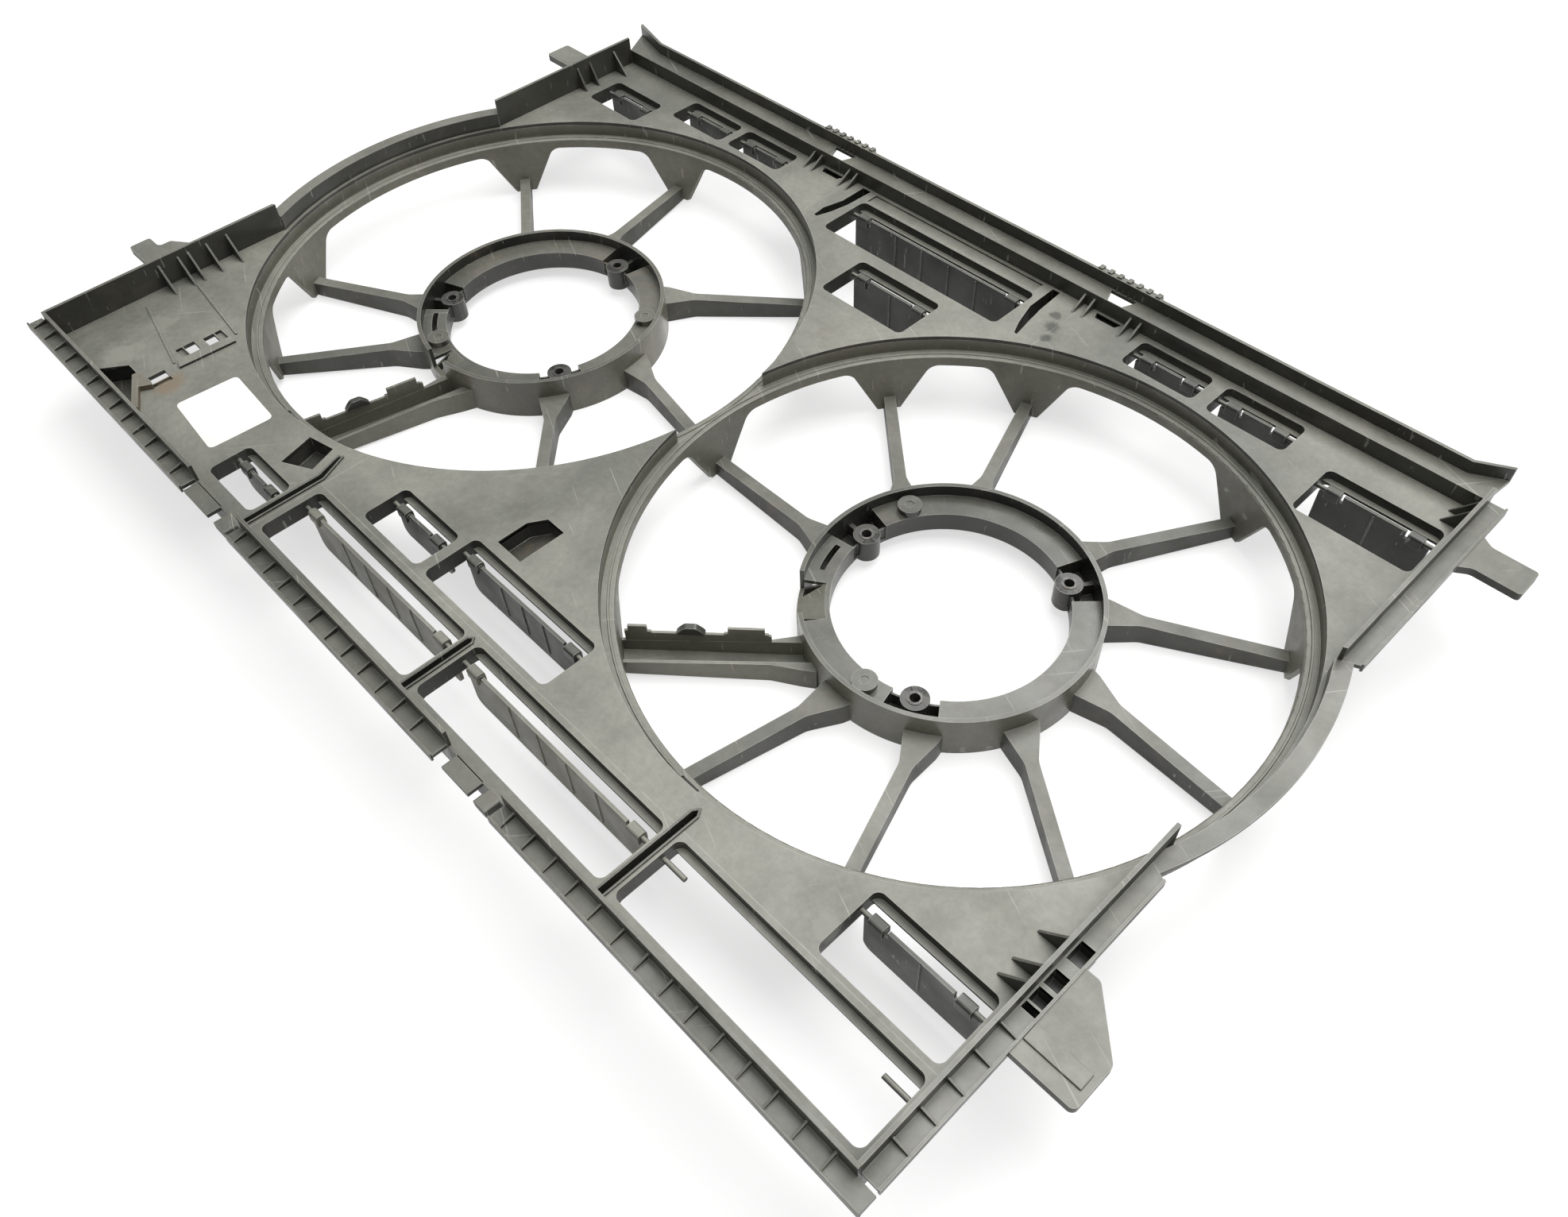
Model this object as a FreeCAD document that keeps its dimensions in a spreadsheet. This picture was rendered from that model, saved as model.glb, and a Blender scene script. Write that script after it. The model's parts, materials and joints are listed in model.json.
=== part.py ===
"""Twin-fan radiator shroud: one moulded frame with two fan rings, two motor rings and hinged air flaps.

The frame lies as it does on a bench: the face that meets the radiator looks up, and the side that
carries the motors looks down. Heights are measured from the upper face of the panel; the whole part
is then lifted so that its lowest faces lie on the bench plane.
"""
import FreeCAD, Part
import math
import os
import Sketcher
from FreeCAD import Placement, Rotation, Vector

VERTICAL = Vector(0, 0, 1)

SIZES = {
    # panel
    "plate_thick": 2.5,
    "wall_thick": 2.0,
    "left_bulge": 12.5,
    "right_bulge": 4.5,
    "near_margin": 71.0,
    "far_margin": 40.0,
    "far_split_left": -100.0,
    "far_split_right": 95.0,
    "near_split_left": -105.0,
    "near_split_right": 190.0,
    "grille_split": 41.75,
    "row_depth": 47.0,
    # fan rings
    "crest_radius": 171.0,
    "waist_half": 4.0,
    "lip_width": 7.0,
    "crest_round": 1.0,
    "ring_wall": 2.5,
    "step_depth": 10.0,
    "bead_height": 0.7,
    "venturi_depth": 16.0,
    "lobe_depth": 47.5,
    "lobe_top_half": 24.0,
    "lobe_foot_half": 6.5,
    "lobe_round": 9.0,
    # motor rings
    "motor_radius": 79.7,
    "motor_wall": 2.5,
    "motor_rim_depth": 23.0,
    "motor_floor_depth": 30.0,
    "motor_base_depth": 49.6,
    "motor_bore_radius": 62.5,
    "motor_collar": 12.0,
    "screw_circle_radius": 64.0,
    "boss_radius": 7.5,
    "boss_length": 14.0,
    "bush_radius": 4.2,
    "bush_bore_radius": 2.75,
    "bush_length": 12.0,
    "bush_proud": 0.4,
    "peg_circle_radius": 69.0,
    "peg_radius": 6.75,
    "peg_height": 4.0,
    "peg_mark_radius": 2.5,
    # spokes
    "spoke_half": 3.5,
    "spoke_root_half": 10.0,
    "spoke_flare": 20.0,
    "spoke_wall": 1.8,
    "spoke_top_inner": 35.0,
    "spoke_top_outer": 38.0,
    "spoke_base_inner": 49.6,
    "spoke_base_outer": 47.5,
    "spoke_roof": 2.2,
    "duct_half": 8.0,
    "duct_floor": 2.0,
    "duct_wall_top": 35.0,
    # vents and flaps
    "vent_round": 4.0,
    "skirt_depth": 10.0,
    "skirt_wall": 1.6,
    "ledge_width": 3.5,
    "ledge_depth": 5.5,
    "ledge_thick": 1.5,
    "hinge_depth": 5.0,
    "pin_radius": 1.3,
    "pin_length": 14.0,
    "pin_clearance": 0.08,
    "flap_thick": 1.8,
    "flap_side_gap": 2.2,
    "flap_overlap": 1.5,
    "flap_rest_gap": 0.35,
    "flap_corner": 5.0,
    "flap_rib": 0.6,
    "flap_rib_pitch": 23.0,
    "flap_back_swing": 15.0,
    "knuckle_radius": 2.7,
    "knuckle_length": 8.0,
    "knuckle_inset": 3.5,
    # outer rails
    "rail_height": 19.0,
    "rail_depth": 10.0,
    "flange_height": 10.0,
    "flange_thick": 2.4,
    "flange_reach": 9.0,
    "flange_lip": 1.2,
    "lip_thick": 1.2,
    "lip_drop": 1.5,
    "rib_pitch": 14.7,
    "rib_thick": 1.4,
    "rib_height": 6.0,
    "arc_flange": 8.5,
    "arc_overlap": 1.0,
    "post_length": 16.0,
    "shelf_width": 11.0,
    "far_wall_height": 18.0,
    "far_flare": 9.5,
    "far_bend_left": 22.0,
    "far_bend_right": 16.0,
    "far_tip_left": 11.5,
    "far_tip_right": 2.0,
    "clip_left_start": -147.0,
    "clip_left_end": -97.0,
    "clip_right_start": 90.7,
    "clip_right_end": 134.0,
    # arms and cross-bars
    "arm_thick": 4.6,
    "arm_width": 19.0,
    "arm_reach": 30.0,
    "far_arm_drop": 37.5,
    "near_arm_rise": 66.0,
    "bar_width": 7.6,
    "left_bar": -110.0,
    "middle_bar": 41.5,
    "right_bar": 190.4,
}

# The two fan axes and the edges of the frame follow from the fan rings.
FAN = "(Sizes.crest_radius + Sizes.waist_half)"
CUTOUT = "(Sizes.crest_radius + Sizes.lip_width)"
EDGES = {
    "left": f"(Sizes.left_bulge - Sizes.crest_radius - {FAN})",
    "right": f"({FAN} + Sizes.crest_radius - Sizes.right_bulge)",
    "near": "(-Sizes.crest_radius - Sizes.near_margin)",
    "far": "(Sizes.crest_radius + Sizes.far_margin)",
    "left_fan": f"(-{FAN})",
    "right_fan": FAN,
    "middle": "0",
}

# Each vent: its left and right sides, each from an edge, a fan axis or the middle, then its near and
# far sides from the near or far edge that it is named after, and how far its hinge is set back.
VENTS = {
    "far_1": ("left", 14.8, "left_fan", -93.0, -53.8, -25.2, 9.0),
    "far_2": ("left_fan", -79.2, "left_fan", -28.3, -29.3, -5.0, 8.5),
    "far_3": ("left_fan", -21.7, "left_fan", 28.3, -27.7, -5.0, 8.5),
    "far_4": ("middle", -77.0, "middle", 66.6, -51.5, -13.3, 9.0),
    "far_5": ("middle", -32.8, "middle", 32.8, -98.0, -60.7, 9.0),
    "far_6": ("right_fan", -35.0, "right_fan", 13.3, -28.2, -4.3, 8.5),
    "far_7": ("right_fan", 22.5, "right_fan", 71.7, -29.3, -4.3, 8.5),
    "far_8": ("right", -70.2, "right", -4.5, -61.0, -23.5, 9.0),
    "near_1": ("middle", -160.8, "middle", -115.0, 8.7, 34.5, 8.5),
    "near_2": ("middle", -100.7, "middle", 37.1, 6.7, 43.7, 9.7),
    "near_3": ("middle", -69.3, "middle", -18.6, 50.3, 78.0, 8.7),
    "near_4": ("middle", -12.0, "right_fan", -86.4, 50.3, 83.4, 8.7),
    "near_5": ("middle", 46.4, "middle", 186.0, 6.7, 43.7, 9.7),
    "near_6": ("middle", 194.6, "right", -4.9, 6.6, 44.0, 10.0),
    "near_7": ("right", -71.5, "right", -5.0, 49.7, 86.6, 9.8),
}
BARE_VENTS = ("near_6",)
for vent, sides in VENTS.items():
    for side, value in zip(("left", "right", "near", "far", "setback"), (sides[1], *sides[3:])):
        SIZES[f"vent_{vent}_{side}"] = value

# Each spoke: its angle at the fan ring and its angle at the motor ring, in degrees.
SPOKES = {
    "left": ((50, 60), (108.5, 114), (148, 152), (209, 213), (237.5, 243), (321, 327), (358, 368)),
    "right": ((1.5, 8), (35, 43), (66.5, 73), (115.5, 121), (143.5, 150), (182.5, 187), (262, 267),
              (295, 302), (330, 337)),
}
DUCTS = {"left": (267, 279), "right": (233, 246)}
SCREWS = {"left": 92.0, "right": 56.0}
PEGS = {"left": (35.0, 251.0), "right": (150.0, 274.0)}
SIDES = {"left": -1, "right": 1}

doc = FreeCAD.newDocument("radiator_fan_shroud")
sheet = doc.addObject("Spreadsheet::Sheet", "Sizes")
for row, (alias, value) in enumerate(SIZES.items(), start=1):
    sheet.set(f"A{row}", alias)
    sheet.set(f"B{row}", str(value))
    sheet.setAlias(f"B{row}", alias)
doc.recompute()

parts = []


def size(alias):
    """Value of one cell of the sheet."""
    return float(sheet.get(alias))


def edge(name):
    """Place of an edge of the frame, or of a fan axis."""
    return float(sheet.evalExpression(EDGES[name]))


def cutout():
    """Radius of the round hole in the panel at each fan."""
    return size("crest_radius") + size("lip_width")


def new_part(label, offset="0"):
    """Empty body for one piece; offset is the cell expression of its own origin along X."""
    made = doc.addObject("PartDesign::Body", label)
    made.Label = label
    made.AllowCompound = True
    made.setExpression("Placement.Base.x", offset)
    parts.append(made)
    return made


def new_sketch(body, height="0", role="XY_Plane", turn=0.0):
    """Sketch on one of the body's own planes, moved along its normal and turned about its upright."""
    support = next(item for item in body.Origin.OriginFeatures if item.Role == role)
    made = body.newObject("Sketcher::SketchObject", f"{body.Name}_outline")
    made.AttachmentSupport = (support, [""])
    made.MapMode = "FlatFace"
    made.AttachmentOffset = Placement(Vector(), Rotation(Vector(0, 1, 0), turn))
    made.setExpression("AttachmentOffset.Base.z", height)
    return made


def outline(sketch, points, radii=0.0):
    """Closed outline through the points, with each corner rounded by its own radius."""
    corners = []
    count = len(points)
    if not isinstance(radii, (list, tuple)):
        radii = [radii] * count
    for index, (x, y) in enumerate(points):
        here = Vector(x, y, 0)
        if radii[index] <= 0:
            corners.append((here, None, here))
            continue
        back = (Vector(*points[index - 1], 0) - here).normalize()
        ahead = (Vector(*points[(index + 1) % count], 0) - here).normalize()
        half = back.getAngle(ahead) / 2
        cut = radii[index] / math.tan(half)
        middle = here + (back + ahead).normalize() * (radii[index] / math.sin(half) - radii[index])
        corners.append((here + back * cut, middle, here + ahead * cut))
    for index, (start, middle, end) in enumerate(corners):
        if middle is not None:
            sketch.addGeometry(Part.Arc(start, middle, end))
        following = corners[(index + 1) % count][0]
        if (following - end).Length > 1e-6:
            sketch.addGeometry(Part.LineSegment(end, following))


def rectangle(sketch, left, right, near, far, radii=0.0):
    """Closed rectangle with rounded corners."""
    outline(sketch, [(left, near), (right, near), (right, far), (left, far)], radii)


def circle(sketch, x, y, radius):
    """Circle whose radius follows a cell expression."""
    value = sheet.evalExpression(radius) if isinstance(radius, str) else radius
    index = sketch.addGeometry(Part.Circle(Vector(x, y, 0), VERTICAL, float(value)))
    if isinstance(radius, str):
        mark = sketch.addConstraint(Sketcher.Constraint("Radius", index, float(value)))
        sketch.renameConstraint(mark, f"radius_{index}")
        sketch.setExpression(f"Constraints.radius_{index}", radius)


def pad(body, sketch, length, reverse=False):
    """Material from the sketch along its normal, or against it."""
    made = body.newObject("PartDesign::Pad", f"{body.Name}_pad")
    made.Profile = sketch
    made.setExpression("Length", length)
    made.Reversed = reverse
    body.Tip = made
    return made


def pocket(body, sketch, length, upward=False):
    """Cut from the sketch against its normal, or along it."""
    made = body.newObject("PartDesign::Pocket", f"{body.Name}_pocket")
    made.Profile = sketch
    made.setExpression("Length", length)
    made.Reversed = upward
    body.Tip = made
    return made


def turned(body, sketch, kind="PartDesign::Revolution"):
    """Full turn of a profile about the body's upright axis: a Revolution adds, a Groove cuts."""
    made = body.newObject(kind, f"{body.Name}_turn")
    made.Profile = sketch
    made.ReferenceAxis = (sketch, ["V_Axis"])
    made.Angle = 360.0
    body.Tip = made
    return made


def polar(radius, angle):
    """Point at a radius and an angle in degrees."""
    return (radius * math.cos(math.radians(angle)), radius * math.sin(math.radians(angle)))


def vent_places(key):
    """Cell expressions of the left, right, near and far sides of a vent and of its hinge line."""
    row = EDGES[key.split("_")[0]]
    left, right = (f"{EDGES[VENTS[key][at]]} + Sizes.vent_{key}_{side}" for at, side in ((0, "left"), (2, "right")))
    near, far = (f"{row} + Sizes.vent_{key}_{side}" for side in ("near", "far"))
    return left, right, near, far, f"{far} - Sizes.vent_{key}_setback"


def vent(key):
    """Edges of one vent and the place of its hinge line."""
    return [float(sheet.evalExpression(place)) for place in vent_places(key)]


def cut_vents(body, keys):
    """Cut each vent through the plate and give it a skirt, a stop ledge and two hinge pins."""
    skirt = size("skirt_wall")
    corner = size("vent_round")
    for key in keys:
        left, right, near, far, hinge = vent(key)
        wall = new_sketch(body, "-Sizes.plate_thick")
        rectangle(wall, left - skirt, right + skirt, near - skirt, far + skirt, corner + skirt)
        pad(body, wall, "Sizes.skirt_depth - Sizes.plate_thick", reverse=True)
        hole = new_sketch(body)
        rectangle(hole, left, right, near, far, corner)
        pocket(body, hole, "Sizes.skirt_depth + 1")
        ledge = new_sketch(body, "-Sizes.ledge_depth")
        rectangle(ledge, left - skirt / 2, right + skirt / 2, far - size("ledge_width"), far + skirt / 2)
        pad(body, ledge, "Sizes.ledge_thick", reverse=True)
        seat = skirt / 2
        for start in (left - seat, right - size("pin_length")):
            pin = new_sketch(body, str(start), role="YZ_Plane")
            circle(pin, hinge, -size("hinge_depth"), "Sizes.pin_radius")
            pad(body, pin, f"Sizes.pin_length + {seat}")


def bulge_half(side):
    """Half angle of the arc by which a fan ring stands out past its end of the frame."""
    reach = abs(edge(side) - edge(f"{side}_fan"))
    return math.degrees(math.acos(reach / (cutout() + size("wall_thick") + size("arc_overlap"))))


def bulge_wedge(side, far=500):
    """Wedge from the fan axis that holds the bulge, as three corners."""
    ahead, half = (180 if side == "left" else 0), bulge_half(side)
    centre = edge(f"{side}_fan")
    low, high = polar(far, ahead - half), polar(far, ahead + half)
    return [(centre, 0), (centre + low[0], low[1]), (centre + high[0], high[1])]


def make_panel(label, left, right, near, far, keys):
    """Flat stretch of the panel, cut back to the two fan openings, with its vents."""
    body = new_part(label)
    plate = new_sketch(body, "-Sizes.plate_thick")
    rectangle(plate, left, right, near, far)
    pad(body, plate, "Sizes.plate_thick")
    cut_vents(body, keys)
    for side in SIDES:
        fan = new_sketch(body)
        circle(fan, edge(f"{side}_fan"), 0, CUTOUT)
        pocket(body, fan, "Sizes.skirt_depth + 1")
        ring = new_sketch(body, "-Sizes.plate_thick")
        circle(ring, edge(f"{side}_fan"), 0, f"{CUTOUT} + Sizes.wall_thick")
        pocket(body, ring, "Sizes.skirt_depth + 1")
        bulge = new_sketch(body)
        outline(bulge, bulge_wedge(side))
        pocket(body, bulge, "Sizes.skirt_depth + 1")


def make_panels():
    """The panel, in the stretches between the fan openings, the rails and the cross-bars."""
    left, right, near, far = (edge(name) for name in ("left", "right", "near", "far"))
    row = near + size("row_depth")
    far_left, far_right = size("far_split_left"), size("far_split_right")
    near_left, near_right, grille = size("near_split_left"), size("near_split_right"), size("grille_split")
    make_panel("far_left_panel", left, far_left, 0.0, far, ("far_1", "far_2", "far_3"))
    make_panel("far_centre_panel", far_left, far_right, 0.0, far, ("far_4", "far_5"))
    make_panel("far_right_panel", far_right, right, 0.0, far, ("far_6", "far_7", "far_8"))
    make_panel("near_left_panel", left, near_left, near, 0.0, ("near_1",))
    make_panel("near_centre_panel", near_left, near_right, row, 0.0, ("near_3", "near_4"))
    make_panel("near_right_panel", near_right, right, row, 0.0, ("near_7",))
    make_panel("left_grille", near_left, grille, near, row, ("near_2",))
    make_panel("centre_grille", grille, near_right, near, row, ("near_5",))
    make_panel("right_grille", near_right, right, near, row, ("near_6",))


def lobe_gaps(side):
    """Middle angle, foot half width and top half width of each gap between two neighbouring lobes."""
    angles = sorted([spoke[0] % 360 for spoke in SPOKES[side]] + [DUCTS[side][0]])
    radius = size("crest_radius")
    foot = math.degrees(size("lobe_foot_half") / radius)
    top = math.degrees(size("lobe_top_half") / radius)
    for index, start in enumerate(angles):
        end = angles[(index + 1) % len(angles)] + (360 if index + 1 == len(angles) else 0)
        half = (end - start) / 2
        yield ((start + end) / 2, radius * math.sin(math.radians(half - foot)),
               radius * math.sin(math.radians(half - top)))


def make_fan_ring(side):
    """Stepped ring round one fan: step wall, lip, and a venturi wall with a lobe at every spoke."""
    body = new_part(f"{side}_fan_ring", EDGES[f"{side}_fan"])
    crest, wall = size("crest_radius"), size("ring_wall")
    outer, step = cutout(), size("step_depth")
    rim, deep = size("crest_round"), size("lobe_depth")
    skin, floor = size("wall_thick"), size("step_depth") + size("wall_thick")
    bead = size("bead_height")
    ring = new_sketch(body, role="XZ_Plane")
    outline(ring, [
        (outer, -size("plate_thick")), (outer + skin, -size("plate_thick")), (outer + skin, -floor),
        (crest + wall, -floor), (crest + wall, -deep), (crest, -deep), (crest, -step),
        (crest + 2.6, -step), (crest + 3.0, -step + bead), (crest + 3.8, -step + bead),
        (crest + 4.2, -step), (outer, -step)],
        [0, 0, 0, 0, 0, 0, rim, 0, 0, 0, 0, 0])
    turned(body, ring)
    for middle, foot, top in lobe_gaps(side):
        window = new_sketch(body, role="XZ_Plane", turn=middle + 90)
        bottom, head = -deep - 1, -size("venturi_depth")
        outline(window, [(-foot, bottom), (foot, bottom), (top, head), (-top, head)],
                [0, 0, size("lobe_round"), size("lobe_round")])
        pocket(body, window, f"{CUTOUT} + 10", upward=True)
    waist = new_sketch(body)
    start, beyond = -edge(f"{side}_fan"), -1.3 * edge(f"{side}_fan")
    rectangle(waist, min(start, beyond), max(start, beyond), -outer / 2, outer / 2)
    pocket(body, waist, "Sizes.lobe_depth + 10")


def make_motor_ring(side):
    """Ring that carries one motor: outer wall, floor, collar, three screw bosses and two pegs."""
    body = new_part(f"{side}_motor_ring", EDGES[f"{side}_fan"])
    outer, wall = size("motor_radius"), size("motor_wall")
    bore, rim = size("motor_bore_radius"), size("motor_rim_depth")
    floor, base = size("motor_floor_depth"), size("motor_base_depth")
    thick = size("plate_thick")
    ring = new_sketch(body, role="XZ_Plane")
    outline(ring, [
        (bore, -floor), (outer - wall, -floor), (outer - wall, -rim), (outer, -rim), (outer, -base),
        (outer - wall, -base), (outer - wall, -floor - thick), (bore + wall, -floor - thick),
        (bore + wall, -floor - size("motor_collar")), (bore, -floor - size("motor_collar"))])
    turned(body, ring)
    bosses = new_sketch(body, "-Sizes.motor_floor_depth")
    screws = [SCREWS[side] + turn for turn in (0, 120, 240)]
    for angle in screws:
        circle(bosses, *polar(size("screw_circle_radius"), angle), "Sizes.boss_radius")
    pad(body, bosses, "Sizes.boss_length", reverse=True)
    seats = new_sketch(body, "-Sizes.motor_floor_depth")
    for angle in screws:
        circle(seats, *polar(size("screw_circle_radius"), angle), "Sizes.bush_radius")
    pocket(body, seats, "Sizes.boss_length + 1")
    pegs = new_sketch(body, "-Sizes.motor_floor_depth")
    marks = new_sketch(body, "Sizes.peg_height - Sizes.motor_floor_depth")
    for angle in PEGS[side]:
        circle(pegs, *polar(size("peg_circle_radius"), angle), "Sizes.peg_radius")
        circle(marks, *polar(size("peg_circle_radius"), angle), "Sizes.peg_mark_radius")
    pad(body, pegs, "Sizes.peg_height")
    pocket(body, marks, "0.5")


def make_bushes(side):
    """Three steel bushes, each in its boss of the motor ring."""
    body = new_part(f"{side}_motor_bushes", EDGES[f"{side}_fan"])
    tubes = new_sketch(body, "Sizes.bush_proud - Sizes.motor_floor_depth")
    for turn in (0, 120, 240):
        place = polar(size("screw_circle_radius"), SCREWS[side] + turn)
        circle(tubes, *place, "Sizes.bush_radius")
        circle(tubes, *place, "Sizes.bush_bore_radius")
    pad(body, tubes, "Sizes.bush_length", reverse=True)


def spoke_frame(angles):
    """Start, end and length of a spoke's middle line, and its direction and its left-hand normal."""
    start = Vector(*polar(size("motor_radius"), angles[1]), 0)
    end = Vector(*polar(size("crest_radius"), angles[0]), 0)
    along = (end - start).normalize()
    return start, (end - start).Length, along, VERTICAL.cross(along)


def spoke_outline(sketch, angles, stations, radii):
    """Outline along a spoke: each station gives a distance along it and a half width."""
    start, length, along, across = spoke_frame(angles)
    right = [start + along * (at if at < 60 else length + at - 60) - across * half for at, half in stations]
    left = [start + along * (at if at < 60 else length + at - 60) + across * half
            for at, half in reversed(stations)]
    outline(sketch, [(point.x, point.y) for point in right + left], radii + radii[::-1])


def make_spokes(side):
    """Straight spokes from the motor ring to the lobes, open below, each with a flared root."""
    body = new_part(f"{side}_spokes", EDGES[f"{side}_fan"])
    half, root, flare = size("spoke_half"), size("spoke_root_half"), size("spoke_flare")
    wall = size("spoke_wall")
    bars = new_sketch(body, "-Sizes.spoke_base_inner - 1")
    for angles in SPOKES[side]:
        spoke_outline(bars, angles, [(-6, root), (2, root - 1), (flare, half), (66, half)], [0, 4, 14, 0])
    pad(body, bars, "Sizes.spoke_base_inner - Sizes.spoke_top_inner + 2")
    hollow = new_sketch(body, "-Sizes.spoke_base_inner - 1")
    for angles in SPOKES[side]:
        spoke_outline(hollow, angles, [(3, root - wall - 2), (flare, half - wall), (57, half - wall)],
                      [2, 14, 0])
    pocket(body, hollow, "Sizes.spoke_base_inner + 1 - Sizes.spoke_top_outer - Sizes.spoke_roof", upward=True)
    inner, outer = size("motor_radius"), size("crest_radius")
    band = new_sketch(body, role="XZ_Plane")
    rectangle(band, inner - 30, outer + 30, -70, -20)
    outline(band, [(inner, -size("spoke_base_inner")), (outer, -size("spoke_base_outer")),
                   (outer, -size("spoke_top_outer")), (inner, -size("spoke_top_inner"))])
    turned(body, band, "PartDesign::Groove")


def make_duct(side):
    """Wide spoke that carries the motor's cable in an open channel."""
    body = new_part(f"{side}_cable_spoke", EDGES[f"{side}_fan"])
    half, wall, angles = size("duct_half"), size("spoke_wall"), DUCTS[side]
    bar = new_sketch(body, "-Sizes.spoke_base_inner - 1")
    spoke_outline(bar, angles, [(-6, half + 4), (2, half + 3), (18, half), (66, half)], [0, 3, 10, 0])
    pad(body, bar, "Sizes.spoke_base_inner - Sizes.duct_wall_top + 1")
    channel = new_sketch(body, "-Sizes.duct_wall_top + 1")
    spoke_outline(channel, angles, [(-8, half - wall), (68, half - wall)], [0, 0])
    pocket(body, channel, "Sizes.spoke_base_outer - Sizes.duct_wall_top - Sizes.duct_floor + 1")
    inner, outer = size("motor_radius"), size("crest_radius")
    band = new_sketch(body, role="XZ_Plane")
    rectangle(band, inner - 30, outer + 30, -70, -20)
    outline(band, [(inner, -size("spoke_base_inner")), (outer, -size("spoke_base_outer")),
                   (outer, -size("spoke_top_outer")), (inner, -size("duct_wall_top"))])
    turned(body, band, "PartDesign::Groove")


def make_flap(key):
    """Air flap that hangs from two pins; its own origin is the hinge line at the vent's left edge."""
    left, right, near, far, hinge = vent(key)
    places = vent_places(key)
    body = new_part(f"flap_{key}", places[0])
    body.setExpression("Placement.Base.y", places[4])
    body.setExpression("Placement.Base.z", "-Sizes.hinge_depth")
    gap, pin = size("flap_side_gap"), size("pin_length")
    width, length = right - left, hinge - near + size("flap_overlap")
    thick, corner, knuckle = size("flap_thick"), size("flap_corner"), size("knuckle_radius")
    shoulder = -size("pin_radius") - 1.0
    inner = pin + 1.5
    blade = new_sketch(body, "-Sizes.flap_thick / 2", role="XZ_Plane")
    outline(blade, [(gap, -length), (width - gap, -length), (width - gap, shoulder),
                    (width - inner, shoulder), (width - inner, knuckle - 0.6), (inner, knuckle - 0.6),
                    (inner, shoulder), (gap, shoulder)],
            [corner, corner, 0, 0, 0.5, 0.5, 0, 0])
    pad(body, blade, "Sizes.flap_thick")
    knuckles = []
    inset, long = size("knuckle_inset"), size("knuckle_length")
    for start in (gap + inset, width - gap - inset - long):
        block = new_sketch(body, str(start), role="YZ_Plane")
        outline(block, [(-knuckle, -knuckle - 1), (knuckle, -knuckle - 1), (knuckle, knuckle), (-knuckle, knuckle)],
                [0.4, 0.4, 1.6, 1.6])
        pad(body, block, "Sizes.knuckle_length")
    bore = new_sketch(body, "0", role="YZ_Plane")
    circle(bore, 0, 0, "Sizes.pin_radius + Sizes.pin_clearance")
    pocket(body, bore, f"{pin + 0.5}", upward=True)
    bore = new_sketch(body, str(width - pin - 0.5), role="YZ_Plane")
    circle(bore, 0, 0, "Sizes.pin_radius + Sizes.pin_clearance")
    pocket(body, bore, f"{pin + 0.5}", upward=True)
    count = int((width - 2 * inner) // size("flap_rib_pitch"))
    if count:
        ribs = new_sketch(body, "Sizes.flap_thick / 2", role="XZ_Plane")
        pitch = (width - 2 * inner) / (count + 1)
        for index in range(count):
            middle = inner + pitch * (index + 1)
            rectangle(ribs, middle - 0.4, middle + 0.4, -length + 4, knuckle - 2)
        pad(body, ribs, "Sizes.flap_rib")


def flap_limit(key):
    """Angle in degrees at which the closing flap meets the lower edge of the vent's near skirt."""
    near, hinge = vent(key)[2], vent(key)[4]
    reach, drop = hinge - near, size("skirt_depth") - size("hinge_depth")
    clear = size("flap_thick") / 2 + size("flap_rest_gap")
    return math.degrees(math.atan2(reach, drop) - math.asin(clear / math.hypot(reach, drop)))


def upright_strip(body, left, right, near, far, low, high):
    """Plain upright block between two heights."""
    sketch = new_sketch(body, str(low))
    rectangle(sketch, left, right, near, far)
    pad(body, sketch, str(high - low))


def make_near_rail(label, left, right, corner_left=0.0, corner_right=0.0):
    """One stretch of the near rail: wall, outward flange with a lip, and cross ribs."""
    body = new_part(label)
    near, skin = edge("near"), size("wall_thick")
    brink = near - skin - size("flange_reach")
    height, thick = size("flange_height"), size("flange_thick")
    lip, drop = size("lip_thick"), size("lip_drop")
    upright_strip(body, left + corner_left, right - corner_right, near - skin, near,
                  -size("rail_depth"), size("rail_height"))
    upright_strip(body, left, right, brink, near - skin, height - thick, height)
    upright_strip(body, left, right, brink, brink + lip, height - thick - drop, height + size("flange_lip"))
    pitch = size("rib_pitch")
    top = height + size("rib_height")
    count = int((right - left) // pitch)
    for index in range(count):
        at = left + pitch * (index + 0.5)
        sketch = new_sketch(body, str(at), role="YZ_Plane")
        outline(sketch, [(brink + lip / 2, height), (near - skin, height), (near - skin, top),
                         (brink + lip / 2, height + lip)])
        pad(body, sketch, "Sizes.rib_thick")


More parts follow.
